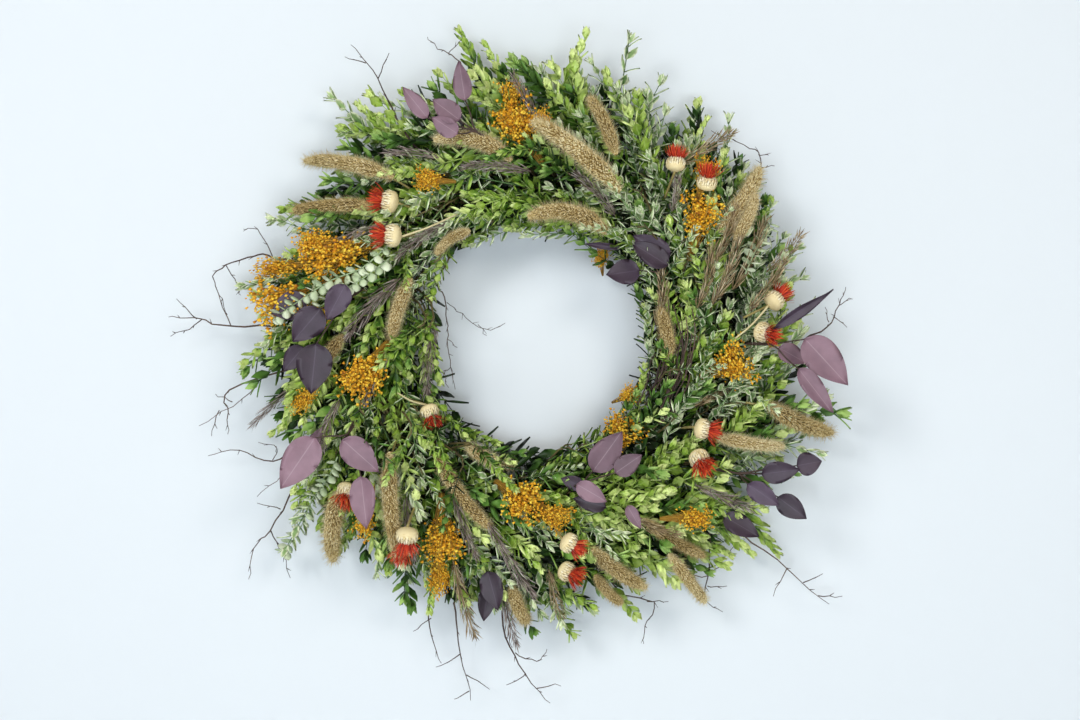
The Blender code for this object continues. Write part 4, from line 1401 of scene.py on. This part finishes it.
def add_plumes():
    meshes = {"lilac": bmesh.new(), "hay": bmesh.new()}
    for number, (foot, near, tip, far, lift, girth) in enumerate(PLUMES):
        start = polar(foot, near, crown(foot, near) - lift + 0.006)
        end = polar(tip, far, crown(tip, min(far, OUTER_REACH - 0.01)) - lift - 0.002)
        middle = (start + end) / 2 + heading((foot + tip) / 2, 0) * 0.003 + Vector((0, -0.003, 0))
        head = bent_copy(
            PLUME_TEMPLATES[number % 3], smooth_line([start, middle, end], 4), PLUME_LENGTH, girth
        )
        meshes["hay" if number in HAY_PLUMES else "lilac"].from_mesh(head)
        bpy.data.meshes.remove(head)
    add_piece("plumes_lilac", new_mesh("plumes_lilac", meshes["lilac"]), PLUME)
    add_piece("plumes_hay", new_mesh("plumes_hay", meshes["hay"]), HAY)


add_plumes()

# Corners of the stems that carry pale discs: angle, reach and height above the greens
DISC_STEMS = (
    (
        (146, 0.165, 0.012), (157, 0.176, 0.016), (163.5, 0.200, 0.018), (170, 0.224, 0.018),
        (174.5, 0.247, 0.018)
    ),
    ((150, 0.158, 0.010), (160, 0.172, 0.016), (167, 0.192, 0.018), (173, 0.212, 0.016)),
    (
        (210, 0.215, 0.012), (213.5, 0.238, 0.014), (215, 0.262, 0.012), (218, 0.290, 0.006),
        (219.5, 0.318, 0.0)
    ),
    ((18, 0.205, 0.010), (23, 0.224, 0.012), (27, 0.250, 0.010)),
)


def add_disc_sprigs():
    rng = Random(360)
    bm = bmesh.new()
    bm.verts.layers.float.new("tint")
    bm.verts.layers.float.new("rim")
    for corners in DISC_STEMS:
        points = [polar(a, r, crown(a, min(r, OUTER_REACH - 0.008)) - h) for a, r, h in corners]
        line = smooth_line(points, 4)
        tube(bm, line, taper(len(line), 0.9 * MM, 0.5 * MM), 4, tint=0.1)
        for i, place in enumerate(frames_along(line)[1:]):
            for side in (-1, 1):
                along = place.to_3x3() @ Vector((0, 0, 1))
                across = along.cross(Vector((0, -1, 0))).normalized() * side
                tip = (along * 0.5 + across + Vector((0, rng.uniform(-0.7, -0.1), 0))).normalized()
                at = place.translation + along * rng.uniform(-1, 1) * MM
                turn = aim(at, tip, rng.uniform(-0.5, 0.5), rng.uniform(0.75, 1.05))
                strew(bm, DISC_LEAF, turn, rng.uniform(0.3, 1.0))
    add_piece("pale_disc_sprigs", new_mesh("pale_disc_sprigs", bm), MINT)


add_disc_sprigs()


# Cut stems in the frame's channel ----------------------------------------------------------------


def add_cut_stems():
    for number, node in enumerate(BUNDLES):
        rng = Random(400 + number)
        start = FIRST_BUNDLE_ANGLE + PITCH * number
        bm = bmesh.new()
        for _ in range(24):
            reach = STEM_REACH + rng.uniform(-0.0105, 0.0105)
            depth = -0.0065 - 0.021 * rng.random()
            first = start - rng.uniform(14, 26)
            line = []
            for step in range(6):
                share = step / 5
                rise = max(0.0, share - 0.6) * 0.05
                line.append(
                    polar(
                        first + (start + 14 - first) * share, reach + rise * rng.uniform(-0.1, 0.3),
                        depth - rise
                    )
                )
            radius = rng.uniform(0.9, 1.9) * MM
            tube(bm, line, taper(6, radius, radius * 0.8), 7, tint=rng.random())
        add_piece(
            f"cut_stems_{number + 1:02d}", new_mesh(f"cut_stems_{number + 1:02d}", bm), STRAW,
            [node]
        )


add_cut_stems()


# Frame, bail and binding wire -------------------------------------------------------------------

RING_WIRE = 3.0 * MM
BRACE_WIRE = 2.8 * MM
BRACE_BACK = 3.2 * MM
FRAME_DEPTH = 30 * MM


def ring_reach(node):
    low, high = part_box(node)
    return (high.x - low.x - RING_WIRE) / 2


def add_rings():
    for node in nodes_like("frame_ring_"):
        low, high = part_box(node)
        bm = bmesh.new()
        start = Matrix.Translation(polar(0, ring_reach(node), (low.y + high.y) / 2))
        profile = bmesh.ops.create_circle(bm, radius=RING_WIRE / 2, segments=12, matrix=start)
        corners = profile["verts"]
        edges = list({e for v in corners for e in v.link_edges})
        bmesh.ops.spin(
            bm, geom=corners + edges, axis=(0, 1, 0), cent=polar(0, 0), angle=tau, steps=128,
            use_merge=True
        )
        add_piece(f"wire_{node}", new_mesh(f"wire_{node}", bm), ZINC, [node])


def add_braces():
    """Cross wires with their corners bent round, and the nuggets that weld them to the rings."""
    inner_back = ring_reach("frame_ring_back_inner")
    outer_back = ring_reach("frame_ring_back_outer")
    inner_front = ring_reach("frame_ring_front_inner")
    outer_front = ring_reach("frame_ring_front_outer")
    side = BRACE_BACK + 0.4 * MM
    corners = (
        (inner_front - side, -FRAME_DEPTH - 4 * MM), (inner_front - side, -FRAME_DEPTH + 8 * MM),
        (inner_back - 8 * MM, BRACE_BACK - 0.3 * MM), (outer_back + 8 * MM, BRACE_BACK - 0.3 * MM),
        (outer_front + side, -FRAME_DEPTH + 8 * MM), (outer_front + side, -FRAME_DEPTH - 4 * MM),
    )
    welds = (
        (inner_back, BRACE_BACK / 2), (outer_back, BRACE_BACK / 2),
        (inner_front - side / 2, -FRAME_DEPTH), (outer_front + side / 2, -FRAME_DEPTH),
    )
    for node in nodes_like("frame_brace_"):
        low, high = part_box(node)
        middle = (low + high) / 2 - CENTRE
        angle = degrees(np.arctan2(middle.z, middle.x))
        line = [polar(angle, *corners[0])]
        for before, corner, after in zip(corners, corners[1:], corners[2:]):
            here, back, on = Vector(corner), Vector(before), Vector(after)
            start = here + (back - here).normalized() * 4 * MM
            end = here + (on - here).normalized() * 4 * MM
            for step in range(5):
                t = step / 4
                point = start * (1 - t) ** 2 + here * 2 * t * (1 - t) + end * t * t
                line.append(polar(angle, *point))
        line.append(polar(angle, *corners[-1]))
        bm = bmesh.new()
        tube(bm, line, [BRACE_WIRE / 2 * 0.98] * len(line), 10)
        add_piece(f"wire_{node}", new_mesh(f"wire_{node}", bm), ZINC, [node])
        bm = bmesh.new()
        for reach, depth in welds:
            nugget = bmesh.ops.create_icosphere(bm, subdivisions=2, radius=1.9 * MM)["verts"]
            bmesh.ops.scale(bm, vec=(1.2, 0.8, 1.0), verts=nugget)
            bmesh.ops.translate(bm, vec=polar(angle, reach, depth), verts=nugget)
        add_piece(f"welds_{node}", new_mesh(f"welds_{node}", bm), ZINC, [node])


def add_bail():
    """The bail: an eyelet round the back ring on each leg, and a round top that hangs on a nail."""
    wire = 1.6 * MM
    half_width = 9 * MM
    grip = RING_WIRE / 2 + wire / 2 + 0.6 * MM
    ring_top = ring_high.z - RING_WIRE / 2
    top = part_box("hanger_bail")[1].z - wire / 2 - half_width
    leg = []
    for i in range(25):
        turn = radians(400 - 310 * i / 24)
        out = half_width + 2.2 * MM * (1 - i / 24)
        leg.append(Vector((-out, grip * sin(turn), ring_top + grip * cos(turn) - out * 0.065)))
    leg += smooth_line([leg[-1], Vector((-half_width, grip * 0.8, ring_top + grip)),
                        Vector((-half_width, 0, ring_top + grip * 2.6)),
                        Vector((-half_width, 0, top))], 4)[1:-1]
    arch = [
        Vector(
            (half_width * cos(pi - pi * i / 24), 0, top + half_width * sin(pi * i / 24))
        ) for i in range(25)
    ]
    points = leg + arch + [Vector((-p.x, p.y, p.z)) for p in reversed(leg)]
    bm = bmesh.new()
    tube(bm, points, [wire / 2] * len(points), 10)
    add_piece(
        "wire_bail", new_mesh("wire_bail", bm), ZINC, ["hanger_bail"],
        body="hanger"
    )


def add_binding_wire():
    """Paddle wire, wound round each bundle's stems and carried on to the next."""
    inner_front = ring_reach("frame_ring_front_inner")
    outer_front = ring_reach("frame_ring_front_outer")
    inner_back = ring_reach("frame_ring_back_inner")
    outer_back = ring_reach("frame_ring_back_outer")
    off = 2.6 * MM
    front = -FRAME_DEPTH - 7.0 * MM
    loop = (
        (outer_front - 2 * MM, front), (outer_front + off + 0.4 * MM, -FRAME_DEPTH - 2.5 * MM),
        (outer_front + off + 0.4 * MM, -FRAME_DEPTH + 2.5 * MM), (outer_back + off, -2.5 * MM),
        (outer_back + off, off), (inner_back - off, off), (inner_back - off, -2.5 * MM),
        (inner_front - off - 0.4 * MM, -FRAME_DEPTH + 2.5 * MM),
        (inner_front - off - 0.4 * MM, -FRAME_DEPTH - 2.5 * MM),
        (inner_front + 2 * MM, front),
    )
    points = []
    for bundle in reversed(range(len(BUNDLES))):
        start = FIRST_BUNDLE_ANGLE + PITCH * bundle - 6
        for corner in range(2 * len(loop)):
            points.append(polar(start - 3 * corner / len(loop), *loop[corner % len(loop)]))
        if bundle:
            points += [polar(start - 6 - (PITCH - 6) * i / 4, *loop[0]) for i in range(4)]
    line = smooth_line(points, 3)
    bm = bmesh.new()
    tube(bm, line, [0.5 * MM] * len(line), 6)
    add_piece(
        "paddle_wire", new_mesh("paddle_wire", bm), ENAMEL, ["binding_wire"]
    )


add_rings()
add_braces()
add_bail()
add_binding_wire()


# Stage -----------------------------------------------------------------------------------------

WALL_Y = 0.0053
FLOOR_Z = -0.95


def backdrop_material(name, colour, see_through_back):
    """Matt wall paint with a faint roller texture; seen from behind it lets the view through."""
    made, tree, shader = start_material(name, 0.75)
    shader.inputs["Base Color"].default_value = linear(colour)
    place = add_node(tree, "ShaderNodeTexCoord")
    stipple = add_node(
        tree, "ShaderNodeTexNoise", [("Vector", place, "Object")], Scale=1 / (4 * MM), Detail=3.0
    )
    relief = add_node(
        tree, "ShaderNodeBump", [("Height", stipple, "Fac")], Strength=0.06, Distance=0.0002
    )
    tree.links.new(relief.outputs["Normal"], shader.inputs["Normal"])
    if see_through_back:
        side = add_node(tree, "ShaderNodeNewGeometry")
        clear = add_node(tree, "ShaderNodeBsdfTransparent")
        mix = add_node(
            tree, "ShaderNodeMixShader",
            [("Fac", side, "Backfacing"), (1, shader, 0), (2, clear, 0)]
        )
        tree.links.new(mix.outputs[0], tree.nodes["Material Output"].inputs["Surface"])
    return made


def add_backdrop(name, finish, place, size):
    bm = bmesh.new()
    bmesh.ops.create_grid(bm, x_segments=1, y_segments=1, size=size, matrix=place)
    mesh = bpy.data.meshes.new(name)
    bm.to_mesh(mesh)
    bm.free()
    mesh.materials.append(finish)
    piece = bpy.data.objects.new(name, mesh)
    bpy.context.scene.collection.objects.link(piece)
    return piece


def add_light(name, place, target, size, power, colour):
    lamp = bpy.data.lights.new(name, "AREA")
    lamp.shape = "RECTANGLE"
    lamp.size = size[0]
    lamp.size_y = size[1]
    lamp.energy = power
    lamp.color = linear(colour)[:3]
    holder = bpy.data.objects.new(name, lamp)
    bpy.context.scene.collection.objects.link(holder)
    holder.location = place
    holder.rotation_euler = (Vector(target) - Vector(place)).to_track_quat("-Z", "Y").to_euler()


def build_stage():
    facing = Matrix.Translation((0, WALL_Y, FLOOR_Z + 3)) @ Matrix.Rotation(pi / 2, 4, "X")
    wall = add_backdrop("wall", backdrop_material("wall_paint_matt", "#dbe0e2", True), facing, 3)
    wall.visible_shadow = False
    add_backdrop(
        "floor", backdrop_material("floor_paint_pale", "#cfd2d4", False),
        Matrix.Translation((0, 0, FLOOR_Z)), 3
    )
    world = bpy.data.worlds.new("studio")
    world.use_nodes = True
    world.node_tree.nodes["Background"].inputs["Color"].default_value = linear("#e8edf2")
    world.node_tree.nodes["Background"].inputs["Strength"].default_value = 0.24
    bpy.context.scene.world = world
    bpy.context.scene.view_settings.view_transform = "Standard"
    add_light("window_left", (-1.3, -2.2, 0.75), CENTRE, (0.9, 0.7), 32, "#f7f8fa")
    add_light("window_right", (1.3, -2.2, 0.75), CENTRE, (0.9, 0.7), 18, "#fffaf2")
    add_light(
        "bounce_front", (0.1, -2.4, -0.6), CENTRE + Vector((0, 0, -0.2)), (2.0, 0.6), 29, "#eaf3fd"
    )
    add_light("window_back", (-0.6, 2.0, 0.9), CENTRE, (1.5, 1.2), 5, "#f7f8fa")
    camera = bpy.data.cameras.new("camera")
    camera.lens = 50
    camera.sensor_width = 36
    holder = bpy.data.objects.new("camera", camera)
    bpy.context.scene.collection.objects.link(holder)
    holder.location = CENTRE + Vector((0.003, -1.5, -0.017))
    holder.rotation_euler = (pi / 2, 0, 0)
    bpy.context.scene.camera = holder


build_stage()
bpy.context.view_layer.update()
